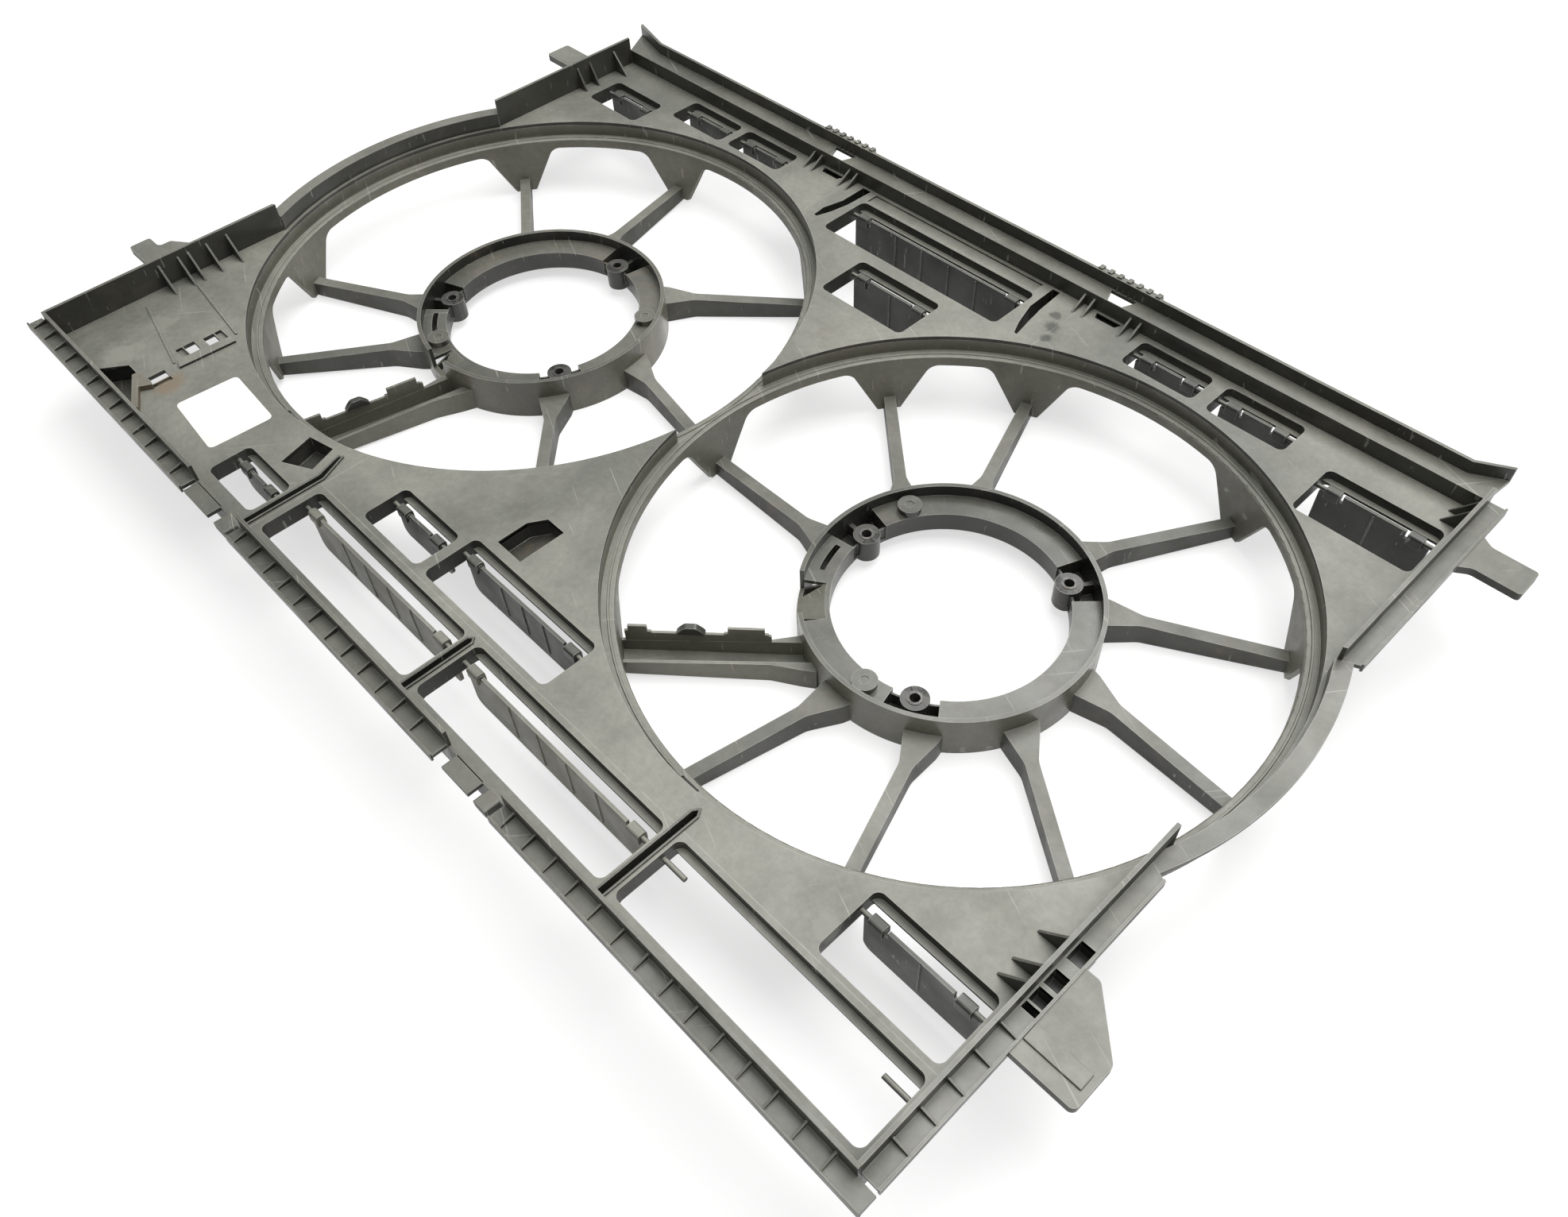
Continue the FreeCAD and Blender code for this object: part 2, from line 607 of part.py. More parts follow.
def make_end_wall(side, row, post=0.0):
    """One stretch of an end wall with its outward flange, from the bulge of the fan to a corner of the
    frame; post is how far its upright runs on over the bulge."""
    body = new_part(f"{side}_{row}_wall")
    skin, outward, x = size("wall_thick"), SIDES[side], edge(side)
    height, thick = size("flange_height"), size("flange_thick")
    lip, drop = size("lip_thick"), size("lip_drop")
    near, far = sorted((0.0, edge(row)))
    start, end = sorted((x, x + outward * skin))
    upright_strip(body, start, end, near, far, -size("rail_depth"), size("rail_height"))
    reach = x + outward * (skin + size("flange_reach"))
    inner, outer = sorted((x + outward * skin, reach))
    upright_strip(body, inner, outer, near, far, height - thick, height)
    inner, outer = sorted((reach, reach - outward * lip))
    upright_strip(body, inner, outer, near, far, height - thick - drop, height + size("flange_lip"))
    bulge = new_sketch(body, "Sizes.rail_height")
    outline(bulge, bulge_wedge(side))
    pocket(body, bulge, "Sizes.rail_height + Sizes.rail_depth + 1")
    if post:
        centre, bend = edge(f"{side}_fan"), math.radians(bulge_half(side))
        foot = -abs(x - centre) * math.tan(bend)
        upright_strip(body, start, end, foot - 3 * skin, foot + post, height, size("rail_height"))
        upright_strip(body, start, end, foot + 3 * skin, foot + post, -size("step_depth"), height)
        step = new_sketch(body, "Sizes.flange_height")
        circle(step, centre, 0, CUTOUT)
        circle(step, centre, 0, f"{CUTOUT} + Sizes.wall_thick + Sizes.arc_overlap")
        pocket(body, step, "Sizes.flange_height + Sizes.step_depth + 1")


def make_arc_wall(side):
    """Bulge of the frame that follows the fan ring, with its outward flange."""
    body = new_part(f"{side}_arc_wall", EDGES[f"{side}_fan"])
    hole, skin = cutout(), size("wall_thick")
    inner = hole + skin
    wall, brink = inner + size("ring_wall"), inner + size("arc_flange")
    height, thick = size("flange_height"), size("flange_thick")
    base = -size("step_depth") - skin
    profile = new_sketch(body, role="XZ_Plane")
    outline(profile, [(hole, -size("plate_thick")), (inner, -size("plate_thick")), (inner, base), (wall, base),
                      (wall, height - thick), (brink, height - thick), (brink, height), (inner, height),
                      (inner, 0), (hole, 0)])
    turned(body, profile)
    centre = edge(f"{side}_fan")
    (tip_x, tip_y), (low_x, low_y), (high_x, high_y) = bulge_wedge(side)
    behind = -SIDES[side] * abs(low_x - tip_x)
    corners = [(tip_x, tip_y), (low_x, low_y), (tip_x + behind, low_y), (tip_x + behind, high_y), (high_x, high_y)]
    rest = new_sketch(body, "-Sizes.rail_depth - 10")
    outline(rest, [(x - centre, y) for x, y in corners])
    pocket(body, rest, "Sizes.rail_height + Sizes.rail_depth + 20", upward=True)


def make_far_rail():
    """Far rail: inner wall, shelf and outer wall, with flared ends."""
    body = new_part("far_rail")
    far, skin = edge("far"), size("wall_thick")
    left, right = edge("left"), edge("right")
    shelf = far + size("shelf_width")
    height, thick = size("flange_height"), size("flange_thick")
    tip_left, tip_right = left - size("far_tip_left"), right + size("far_tip_right")
    flare = size("far_flare")
    upright_strip(body, left, right, far, far + skin, -size("rail_depth"), height)
    deck = new_sketch(body, "Sizes.flange_height - Sizes.flange_thick")
    back = [(tip_left, shelf + flare), (left + size("far_bend_left"), shelf),
            (right - size("far_bend_right"), shelf), (tip_right, shelf + flare)]
    outline(deck, [(left, far), (right, far)] + [(x, y) for x, y in reversed(back)])
    pad(body, deck, "Sizes.flange_thick")
    fence = new_sketch(body, "Sizes.flange_height - Sizes.flange_thick")
    outline(fence, back + [(x, y + skin) for x, y in reversed(back)])
    pad(body, fence, "Sizes.far_wall_height - Sizes.flange_height + Sizes.flange_thick")


def make_arm(label, points, radii):
    """Flat arm on the frame's flange."""
    body = new_part(label)
    sketch = new_sketch(body, "Sizes.flange_height - Sizes.arm_thick")
    outline(sketch, points, radii)
    pad(body, sketch, "Sizes.arm_thick")


def make_arms():
    """The four arms that hang the shroud on the radiator."""
    reach = size("wall_thick") + size("flange_reach")
    left, right = edge("left") - reach, edge("right") + reach
    far, near = edge("far") - size("far_arm_drop"), edge("near") + size("near_arm_rise")
    half = size("arm_width") / 2
    span = size("arm_reach")
    make_arm("far_left_arm", [(left, far - half - 4), (left - 6, far - half), (left - span - 1, far - half),
                              (left - span - 1, far + half), (left - 6, far + half), (left, far + half + 4)],
             [0, 6, 2, 2, 6, 0])
    make_arm("far_right_arm", [(right, far + half + 4), (right + 6, far + half), (right + span, far + half),
                               (right + span, far - half), (right + 6, far - half), (right, far - half - 4)],
             [0, 6, 2, 2, 6, 0])
    make_arm("near_left_arm", [(left, near + 37), (left - 17, near + 25), (left - 17, near + 17),
                               (left - span, near + 17), (left - span, near + 3), (left, near + 3)],
             [0, 3, 3, 2, 2, 0])
    make_arm("near_right_arm", [(right, near + 3), (right + span, near + 3), (right + span, near + 26),
                                (right + 7, near + 49), (right, near + 49)], [0, 3, 4, 4, 0])


def make_cross_bars():
    """Three raised bars that stiffen the frame between the vents of the near row."""
    body = new_part("cross_bars")
    near, half = edge("near"), size("bar_width") / 2
    row = near + size("row_depth")
    left, middle, right = (size(name) for name in ("left_bar", "middle_bar", "right_bar"))
    bars = [[(left - half, near), (left + half, near), (left + half, row + 3), (left - 7, row + 21),
             (left - 11, row + 19), (left - half, row + 1)],
            [(middle - half, near), (middle + half, near), (middle + half, row - 5), (middle, row - 1),
             (middle - half, row - 5)],
            [(right - half, near), (right + half, near), (right + half, row + 9), (right, row + 13),
             (right - half, row + 9)]]
    for points in bars:
        sketch = new_sketch(body)
        outline(sketch, points)
        pad(body, sketch, "Sizes.rail_height - Sizes.flange_height")


make_panels()
for name in SIDES:
    make_fan_ring(name)
    make_motor_ring(name)
    make_bushes(name)
    make_spokes(name)
    make_duct(name)
for name in VENTS:
    if name not in BARE_VENTS:
        make_flap(name)
make_far_rail()
corner = size("wall_thick") + size("flange_reach")
make_near_rail("near_rail_left", edge("left") - corner, size("clip_left_start"), corner_left=size("flange_reach"))
make_near_rail("near_rail_centre", size("clip_left_end"), size("clip_right_start"))
make_near_rail("near_rail_right", size("clip_right_end"), edge("right") + corner, corner_right=size("flange_reach"))
make_end_wall("left", "near")
make_end_wall("left", "far")
make_end_wall("right", "near", post=size("post_length"))
make_end_wall("right", "far")
for name in SIDES:
    make_arc_wall(name)
make_arms()
make_cross_bars()

doc.recompute()
box = FreeCAD.BoundBox()
for part in parts:
    box.add(part.Shape.BoundBox)
shift = Vector(-box.Center.x, -box.Center.y, -box.ZMin)
for part in parts:
    for axis, amount in zip("xyz", shift):
        known = dict(part.ExpressionEngine).get(f".Placement.Base.{axis}", "0")
        part.setExpression(f"Placement.Base.{axis}", f"({known}) + {amount:.6f}")
doc.recompute()

for made in doc.Objects:
    if "Invalid" in made.State or "Error" in made.State:
        raise RuntimeError(f"{made.Label} failed: {made.State}")
os.makedirs("parts", exist_ok=True)
for part in parts:
    if part.Shape.isNull() or not part.Shape.isValid():
        raise RuntimeError(f"{part.Label} is not a valid shape")
    part.Shape.exportStep(f"parts/{part.Label}.step")
print(len(parts), "parts", "shift", tuple(round(value, 3) for value in shift))
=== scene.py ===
# %% [markdown]
# A bare twin-fan radiator shroud lies on a white bench with its radiator side up. The frame itself,
# with every wall, spoke and flap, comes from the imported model. This lesson gives it the finish of
# dusty black moulded nylon, adds the fine pieces that the solids leave out, and sets up the light
# and the camera of the photograph.

import json
import math

import bmesh
import bpy
import numpy as np
from mathutils import Matrix, Vector


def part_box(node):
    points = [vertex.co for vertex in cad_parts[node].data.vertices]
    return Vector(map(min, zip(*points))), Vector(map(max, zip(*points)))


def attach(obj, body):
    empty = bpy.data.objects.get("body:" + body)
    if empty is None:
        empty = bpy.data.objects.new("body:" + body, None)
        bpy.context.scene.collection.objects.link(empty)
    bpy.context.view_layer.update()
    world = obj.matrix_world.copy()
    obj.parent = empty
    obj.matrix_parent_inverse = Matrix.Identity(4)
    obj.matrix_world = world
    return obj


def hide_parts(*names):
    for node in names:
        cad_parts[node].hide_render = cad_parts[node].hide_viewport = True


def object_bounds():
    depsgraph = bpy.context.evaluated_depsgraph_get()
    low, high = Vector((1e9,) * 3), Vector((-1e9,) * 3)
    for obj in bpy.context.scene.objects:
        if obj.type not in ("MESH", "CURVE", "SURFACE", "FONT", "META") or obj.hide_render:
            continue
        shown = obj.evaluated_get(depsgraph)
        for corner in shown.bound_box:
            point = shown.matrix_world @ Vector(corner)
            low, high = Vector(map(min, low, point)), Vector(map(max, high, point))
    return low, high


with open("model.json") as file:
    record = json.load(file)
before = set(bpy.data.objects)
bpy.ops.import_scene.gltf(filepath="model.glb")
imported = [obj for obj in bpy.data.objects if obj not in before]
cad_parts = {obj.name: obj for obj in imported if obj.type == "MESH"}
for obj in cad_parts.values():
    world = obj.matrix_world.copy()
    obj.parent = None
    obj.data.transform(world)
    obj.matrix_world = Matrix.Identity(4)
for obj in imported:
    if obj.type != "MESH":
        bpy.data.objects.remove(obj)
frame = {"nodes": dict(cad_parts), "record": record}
cad_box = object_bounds()
print("nodes", len(frame["nodes"]), "size", [round(value, 4) for value in cad_box[1] - cad_box[0]])

# %% [markdown]
# Every place in this script is measured from the two fan axes and from the upper face of the panel,
# as the maker would. The motor rings are round about those axes, so the middle of their boxes gives
# the axes, and the top of a plain panel gives the height.

# %% Places taken from the frame
MM = 0.001


def middle(node):
    """Middle of the box of one node."""
    low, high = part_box(node)
    return (low + high) / 2


fan_middle = {side: middle(f"{side}_motor_ring") for side in ("left", "right")}
panel_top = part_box("near_right_panel")[1].z
home = (fan_middle["left"] + fan_middle["right"]) / 2
home.z = panel_top


def place(x, y, z=0.0):
    """Point of the frame from millimetres: x and y from midway between the fans, z from the panel."""
    return home + Vector((x, y, z)) * MM


spacing = (fan_middle["right"] - fan_middle["left"]).length
print("fan spacing", round(spacing, 4), "panel top", round(panel_top, 4))

# %% [markdown]
# A finish is a tree of shader nodes. The class below only shortens the writing: each method adds one
# node and hands back its output, so a finish reads like a recipe. All patterns read object
# coordinates, in metres, so that a grain of 2000 is half a millimetre across and nothing slides
# when a flap swings.

# %% A short hand for shader nodes


class Recipe:
    """One material and the nodes that lead to its shader."""

    def __init__(self, name):
        self.material = bpy.data.materials.new(name)
        self.material.use_nodes = True
        self.tree = self.material.node_tree
        self.shader = self.tree.nodes["Principled BSDF"]
        self.spot = self.add("TexCoord", {}).outputs["Object"]

    def add(self, kind, inputs, **settings):
        """Add a node; an input that is an output of another node is linked, a value is set."""
        made = self.tree.nodes.new("ShaderNode" + kind)
        for name, value in settings.items():
            setattr(made, name, value)
        for name, value in inputs.items():
            self.fill(made.inputs[name], value)
        return made

    def fill(self, socket, value):
        """Link or set one socket."""
        if isinstance(value, bpy.types.NodeSocket):
            self.tree.links.new(value, socket)
        else:
            socket.default_value = value

    def noise(self, scale, detail=4.0, rough=0.55, spot=None, warp=0.0):
        """Cloudy pattern from 0 to 1 with that many waves per metre."""
        inputs = {"Vector": spot or self.spot, "Scale": scale, "Detail": detail, "Roughness": rough,
                  "Distortion": warp}
        return self.add("TexNoise", inputs).outputs["Fac"]

    def stretch(self, scale, turn=(0.0, 0.0, 0.0)):
        """Object coordinates, turned and then stretched."""
        turned = self.add("Mapping", {"Vector": self.spot, "Rotation": turn})
        return self.add("Mapping", {"Vector": turned.outputs["Vector"], "Scale": scale}).outputs["Vector"]

    def ramp(self, value, low, high, start=0.0, end=1.0):
        """Smooth step of a value from start to end as it goes from low to high."""
        inputs = {"Value": value, "From Min": low, "From Max": high, "To Min": start, "To Max": end}
        return self.add("MapRange", inputs, interpolation_type="SMOOTHSTEP").outputs["Result"]

    def sum(self, operation, first, second):
        """Arithmetic on two values."""
        return self.add("Math", {0: first, 1: second}, operation=operation).outputs["Value"]

    def blend(self, share, first, second):
        """Colour that goes from the first to the second as share goes from 0 to 1."""
        first, second = ((*tone, 1.0) if isinstance(tone, tuple) else tone for tone in (first, second))
        return self.add("Mix", {0: share, 6: first, 7: second}, data_type="RGBA").outputs[2]

    def scaled(self, colour, factor):
        """Colour times a factor."""
        return self.add("VectorMath", {0: colour, "Scale": factor}, operation="SCALE").outputs["Vector"]

    def agreement(self, first, second):
        """Dot product of two directions: 1 where they agree, 0 where they are square to each other."""
        return self.add("VectorMath", {0: first, 1: second}, operation="DOT_PRODUCT").outputs["Value"]

    def facing_up(self, low, high):
        """Share from 0 to 1 by how far a face of the piece looks upward when the part is at rest."""
        normal = self.add("TexCoord", {}).outputs["Normal"]
        height = self.add("SeparateXYZ", {"Vector": normal}).outputs["Z"]
        return self.ramp(height, low, high)

    def facing_out(self, centre):
        """Share from 0 to 1 by how far a face looks away from an upright axis."""
        moved = self.add("Mapping", {"Vector": self.spot, "Location": (-centre[0], -centre[1], 0.0)})
        level = {0: moved.outputs["Vector"], 1: (1.0, 1.0, 0.0)}
        flat = self.add("VectorMath", level, operation="MULTIPLY").outputs["Vector"]
        away = self.add("VectorMath", {0: flat}, operation="NORMALIZE").outputs["Vector"]
        normal = self.add("TexCoord", {}).outputs["Normal"]
        return self.ramp(self.agreement(away, normal), -0.1, 0.3)

    def blot(self, centre, radius):
        """Ragged blot round a place: the distance to it plus a noise, as a share from 1 inside to 0."""
        spots = {0: self.spot, 1: tuple(centre)}
        far = self.add("VectorMath", spots, operation="DISTANCE").outputs["Value"]
        ragged = self.sum("MULTIPLY", self.noise(95.0, 6.0, 0.65), 1.3 * radius)
        return self.ramp(self.sum("ADD", far, ragged), 0.95 * radius, 1.35 * radius, 1.0, 0.0)

    def edges(self, radius, low, high):
        """Share from 0 to 1 near the sharp edges of a piece, where a rounded normal leaves the true one."""
        soft = self.add("Bevel", {"Radius": radius}, samples=4).outputs["Normal"]
        true = self.add("NewGeometry", {}).outputs["Normal"]
        return self.ramp(self.agreement(soft, true), high, low)

    def bump(self, height, distance, strength=1.0, under=None):
        """Normal from a height pattern, in metres."""
        inputs = {"Height": height, "Distance": distance, "Strength": strength}
        if under is not None:
            inputs["Normal"] = under
        return self.add("Bump", inputs).outputs["Normal"]

    def finish(self, colour, roughness, normal, **sockets):
        """Fill the shader's sockets."""
        self.fill(self.shader.inputs["Base Color"], colour)
        self.fill(self.shader.inputs["Roughness"], roughness)
        self.fill(self.shader.inputs["Normal"], normal)
        for name, value in sockets.items():
            self.fill(self.shader.inputs[name], value)
        return self.material


# %% [markdown]
# The frame is black nylon with glass fibre. New, it is satin black. After years behind a radiator its
# upward faces have turned a dull grey green, with cloudy water marks, fine scratches and specks of
# dust, and the black only shows on upright faces and inside the pockets. So the finish lays a pale
# colour over the black by how far a face looks up: partly that dust, partly a painted reflection of
# the bright overhead light. Upright faces get a paler film, partly dust and partly painted light from
# the white bench, while walls that face a ring's axis and the pockets stay black as painted shade.
# Along the edges the colour is lightened: partly rubbed wear, partly a painted highlight.

# %% Colours and materials
BLACK = (0.012, 0.012, 0.010)
CHARCOAL = (0.028, 0.028, 0.024)
DARK_DUST_AND_SHEEN = (0.101, 0.103, 0.087)
PALE_DUST_AND_SHEEN = (0.195, 0.195, 0.165)
WALL_DUST_AND_REFLECTION = (0.150, 0.146, 0.112)
MUD = (0.150, 0.112, 0.070)
# Pale colour of scratches, specks and worn edges; along the edges it is also a painted highlight.
PALE_WEAR_AND_HIGHLIGHT = (0.33, 0.33, 0.29)
DARK_STEEL, PALE_STEEL, RUST = (0.045, 0.043, 0.040), (0.12, 0.118, 0.11), (0.16, 0.09, 0.05)
PAPER, YELLOWED, SCUFFED = (0.80, 0.80, 0.77), (0.62, 0.61, 0.56), (0.42, 0.42, 0.38)


def nylon(name, dust_and_sheen=1.0, walls=0.06, mud=0.15, sheen=0.46, film_and_reflection=WALL_DUST_AND_REFLECTION, axis=None, blots=()):
    """Black moulded nylon, dusty above.

    dust_and_sheen, walls and mud are the shares of the upward tone on upward faces (dust and a painted
    reflection of the overhead light), of the upright tone on upright ones (dust and a painted reflection
    of the white bench) and of stains. sheen is the roughness. With an axis only the walls that look away
    from it get the upright tone; the walls that face the axis stay black as painted shade. A blot is a
    place in millimetres, a radius, a colour and a share.
    """
    recipe = Recipe(name)
    black = recipe.blend(recipe.ramp(recipe.noise(22.0, 5.0), 0.35, 0.7), BLACK, CHARCOAL)
    # The upward tone is partly dust and partly a painted reflection of the bright overhead light on the
    # satin black.
    dust_and_sheen_tone = recipe.blend(recipe.ramp(recipe.noise(7.0, 6.0, 0.6, warp=0.6), 0.33, 0.68), DARK_DUST_AND_SHEEN, PALE_DUST_AND_SHEEN)
    patchy = recipe.ramp(recipe.noise(16.0, 8.0, 0.65), 0.25, 0.6, 0.72, 1.0)
    # Upright faces get a film that is partly dust and partly a painted reflection of the lit white bench.
    # With an axis the film is kept off the walls that face it, so they stay black as painted shade.
    share = recipe.ramp(recipe.noise(11.0, 6.0, 0.6), 0.3, 0.7, 0.5 * walls, walls)
    if axis is not None:
        share = recipe.sum("MULTIPLY", share, recipe.facing_out(axis))
    colour = recipe.blend(share, black, film_and_reflection)
    # Upward faces take that tone: dust, and a painted reflection of the light from above.
    dust_and_sheen_cover = recipe.sum("MULTIPLY", recipe.facing_up(0.45, 0.95), recipe.sum("MULTIPLY", patchy, dust_and_sheen))
    colour = recipe.blend(dust_and_sheen_cover, colour, dust_and_sheen_tone)
    stain = recipe.sum("MULTIPLY", recipe.ramp(recipe.noise(31.0, 9.0, 0.7, warp=1.2), 0.52, 0.75), mud)
    colour = recipe.blend(stain, colour, MUD)
    mottle = recipe.ramp(recipe.noise(260.0, 6.0, 0.7), 0.3, 0.7, 0.9, 1.08)
    colour = recipe.scaled(colour, mottle)
    for centre, radius, tone, most in blots:
        blot = recipe.sum("MULTIPLY", recipe.blot(place(*centre), radius * MM), most)
        colour = recipe.blend(blot, colour, tone)
    for turn, threshold in ((0.4, 0.70), (-0.9, 0.715)):
        streak = recipe.noise(1.0, 2.0, 0.5, spot=recipe.stretch((14.0, 620.0, 60.0), (0.0, 0.0, turn)))
        colour = recipe.blend(recipe.ramp(streak, threshold, threshold + 0.03, 0.0, 0.4), colour, PALE_WEAR_AND_HIGHLIGHT)
    specks = recipe.ramp(recipe.noise(520.0, 3.0, 0.7), 0.70, 0.76, 0.0, 0.35)
    colour = recipe.blend(specks, colour, PALE_WEAR_AND_HIGHLIGHT)
    # Edges are lightened, partly rubbed wear and partly a painted highlight of the light they catch.
    edge_patchiness = recipe.ramp(recipe.noise(60.0, 4.0), 0.35, 0.6, 0.25, 0.8)
    worn_and_highlit_edge = recipe.sum("MULTIPLY", recipe.edges(0.0007, 0.8, 0.985), edge_patchiness)
    colour = recipe.blend(worn_and_highlit_edge, colour, PALE_WEAR_AND_HIGHLIGHT)
    gloss = recipe.ramp(recipe.noise(40.0, 5.0), 0.3, 0.7, sheen - 0.07, sheen + 0.12)
    grain = recipe.bump(recipe.noise(2400.0, 2.0, 0.6), 0.00006, 0.5)
    waves = recipe.bump(recipe.noise(34.0, 2.0), 0.0012, 0.25, under=grain)
    return recipe.finish(colour, gloss, waves)


def steel(name):
    """Dull plated steel of the screw bushes, with a fine grain and a little rust."""
    recipe = Recipe(name)
    base = recipe.blend(recipe.ramp(recipe.noise(300.0, 6.0), 0.3, 0.7), DARK_STEEL, PALE_STEEL)
    rust = recipe.ramp(recipe.noise(170.0, 8.0, 0.7), 0.55, 0.72, 0.0, 0.7)
    colour = recipe.blend(rust, base, RUST)
    gloss = recipe.ramp(recipe.noise(900.0, 3.0), 0.3, 0.7, 0.28, 0.5)
    return recipe.finish(colour, gloss, recipe.bump(recipe.noise(1500.0, 3.0), 0.00005, 0.6), Metallic=0.7)


def paper(name):
    """Bare white sticker, faintly yellowed and scuffed."""
    recipe = Recipe(name)
    base = recipe.blend(recipe.ramp(recipe.noise(26.0, 6.0), 0.3, 0.75), PAPER, YELLOWED)
    scuff = recipe.noise(1.0, 3.0, 0.6, spot=recipe.stretch((30.0, 500.0, 50.0), (0.0, 0.0, 0.7)))
    colour = recipe.blend(recipe.ramp(scuff, 0.62, 0.7, 0.0, 0.4), base, SCUFFED)
    gloss = recipe.ramp(recipe.noise(60.0, 4.0), 0.3, 0.7, 0.4, 0.62)
    return recipe.finish(colour, gloss, recipe.bump(recipe.noise(90.0, 4.0), 0.0005, 0.3))


print("colours", PALE_DUST_AND_SHEEN, "down to", BLACK)

# %% [markdown]
# The same recipe gives each region its own wear and its painted light: the rings of the motors are darker
# and glossier than the panel, the stepped rings have pale walls, partly dust and partly a painted
# reflection of the white bench, the troughs are darker, and the pockets are kept black as painted shade.
# The panel also has a few blots: a dark drip stain at the far rail, brown dirt at the hook bracket,
# and pale patches.

# %% One finish for each region
DRIPS = (((93.0, 181.0), 9.0, CHARCOAL, 0.85), ((97.0, 170.0), 6.0, CHARCOAL, 0.85),
         ((88.0, 190.0), 7.0, CHARCOAL, 0.8))
DIRT = (((-243.0, -214.0), 17.0, MUD, 0.75),)
PATCHES = (((-290.0, -222.0), 22.0, PALE_DUST_AND_SHEEN, 0.7), ((-300.0, -190.0), 15.0, PALE_DUST_AND_SHEEN, 0.5),
           ((268.0, -182.0), 12.0, PALE_DUST_AND_SHEEN, 0.6), ((-60.0, 214.0), 16.0, PALE_DUST_AND_SHEEN, 0.5))
finishes = {
    "panel": nylon("panel_nylon", blots=DRIPS + DIRT + PATCHES),
    # The pale walls of the stepped rings are partly dust and partly a painted reflection of the white bench.
    "fan_ring": nylon("fan_ring_nylon", dust_and_sheen=0.95, walls=0.8, mud=0.1),
    # On the motor rings only the outward walls are pale, partly painted light from the bench; the inward
    # walls stay black as painted shade.
    "left_ring": nylon("left_motor_ring_nylon", dust_and_sheen=0.45, walls=0.75, mud=0.35, sheen=0.26,
                       axis=fan_middle["left"]),
    "right_ring": nylon("right_motor_ring_nylon", dust_and_sheen=0.45, walls=0.75, mud=0.15, sheen=0.26,
                        axis=fan_middle["right"]),
    "spoke": nylon("spoke_nylon", dust_and_sheen=0.8, walls=0.16, mud=0.3),
    "rail": nylon("rail_nylon", dust_and_sheen=0.68, walls=0.12, sheen=0.36),
    "rib": nylon("rib_nylon", dust_and_sheen=0.7, walls=0.08),
    "trough": nylon("trough_nylon", dust_and_sheen=0.35, walls=0.05, sheen=0.4),
    # Pockets, recesses and wells get a near black finish: painted shade for their depth.
    "pocket": nylon("pocket_shade_nylon", dust_and_sheen=0.12, walls=0.03, mud=0.3, sheen=0.32),
    "flap": nylon("flap_nylon", dust_and_sheen=0.35, walls=0.01, mud=0.05, sheen=0.46),
    "dusty_flap": nylon("dusty_flap_nylon", dust_and_sheen=0.8, walls=0.85, mud=0.1, sheen=0.5),
    "muddy": nylon("muddy_nylon", dust_and_sheen=0.6, walls=0.9, mud=1.0, sheen=0.6, film_and_reflection=MUD),
    "bush": steel("bush_steel"),
    "clip": nylon("clip_nylon", dust_and_sheen=0.15, walls=0.02, mud=0.05, sheen=0.34),
    "label": paper("sticker_white"),
}
print("finishes", sorted(finishes))

# %% [markdown]
# The record names a slot for each node. Within the moulding the region is told by the node's name:
# the first word of the list that the name holds counts. Two of the flaps have collected more dust.

# %% Dressing the nodes of the model
# The cable spokes take the stepped ring's finish, whose pale walls are partly a painted reflection of the
# bench.
REGIONS = (("fan_ring", "fan_ring"), ("left_motor", "left_ring"), ("right_motor", "right_ring"),
           ("cable_spoke", "fan_ring"), ("spoke", "spoke"), ("rail", "rail"), ("arm", "panel"),
           ("wall", "rail"), ("", "panel"))
DUSTY_FLAPS = ("flap_near_2", "flap_near_5")


def region(node, slot):
    """Finish of a node: its slot's own, or within the moulding the first region whose word it holds."""
    if node in DUSTY_FLAPS:
        return "dusty_flap"
    return slot if slot != "moulding" else next(finish for word, finish in REGIONS if word in node)


slots = {part["node"]: part["material_slot"] for part in frame["record"]["subparts"]}
for name, made in frame["nodes"].items():
    made.data.materials.clear()
    made.data.materials.append(finishes[region(name, slots[name])])
print("dressed", len(slots), "nodes")

# %% [markdown]
# The model's solids carry the main forms. The fine ones, such as ribs, gussets, pockets, troughs and
# clips, are added here. Nearly all of them are an outline with some height, so three small functions
# are enough: a prism, a cup with a wall and a bottom, and a profile that is carried round an axis.
# Each works its points out as whole arrays, in the maker's millimetres, and faces outward.

# %% Outlines
ARC_STEP, SWEEP_STEP, CORNER_POINTS = 4.0, 3.0, 7


def anticlockwise(outline):
    """The outline as an array that runs anticlockwise: twice its area, sum(x y' - y x'), is positive."""
    outline = np.asarray(outline, float)
    x, y = outline.T
    area = (x * np.roll(y, -1) - y * np.roll(x, -1)).sum()
    return outline if area > 0 else outline[::-1]


def grow(outline, by):
    """Each side moved outward: a corner goes by 2 s / |s|^2, with s the sum of its two outward normals."""
    outline = anticlockwise(outline)
    runs = np.roll(outline, -1, axis=0) - outline
    normals = np.column_stack([runs[:, 1], -runs[:, 0]])
    normals /= np.linalg.norm(runs, axis=1, keepdims=True)
    out = normals + np.roll(normals, 1, axis=0)
    return outline + out * (2 * by / (out ** 2).sum(axis=1, keepdims=True))


def block(left, right, near, far):
    """Rectangle by its four sides."""
    return [(left, near), (right, near), (right, far), (left, far)]


def sector(inner, outer, start, end, centre=(0.0, 0.0)):
    """Outline between two radii and two angles: out along the first angle, round, in and round back."""
    turns = np.radians(np.linspace(start, end, int(abs(end - start) / ARC_STEP) + 3))
    arc = np.column_stack([np.cos(turns), np.sin(turns)])
    return np.vstack([arc * outer, arc[::-1] * inner]) + centre


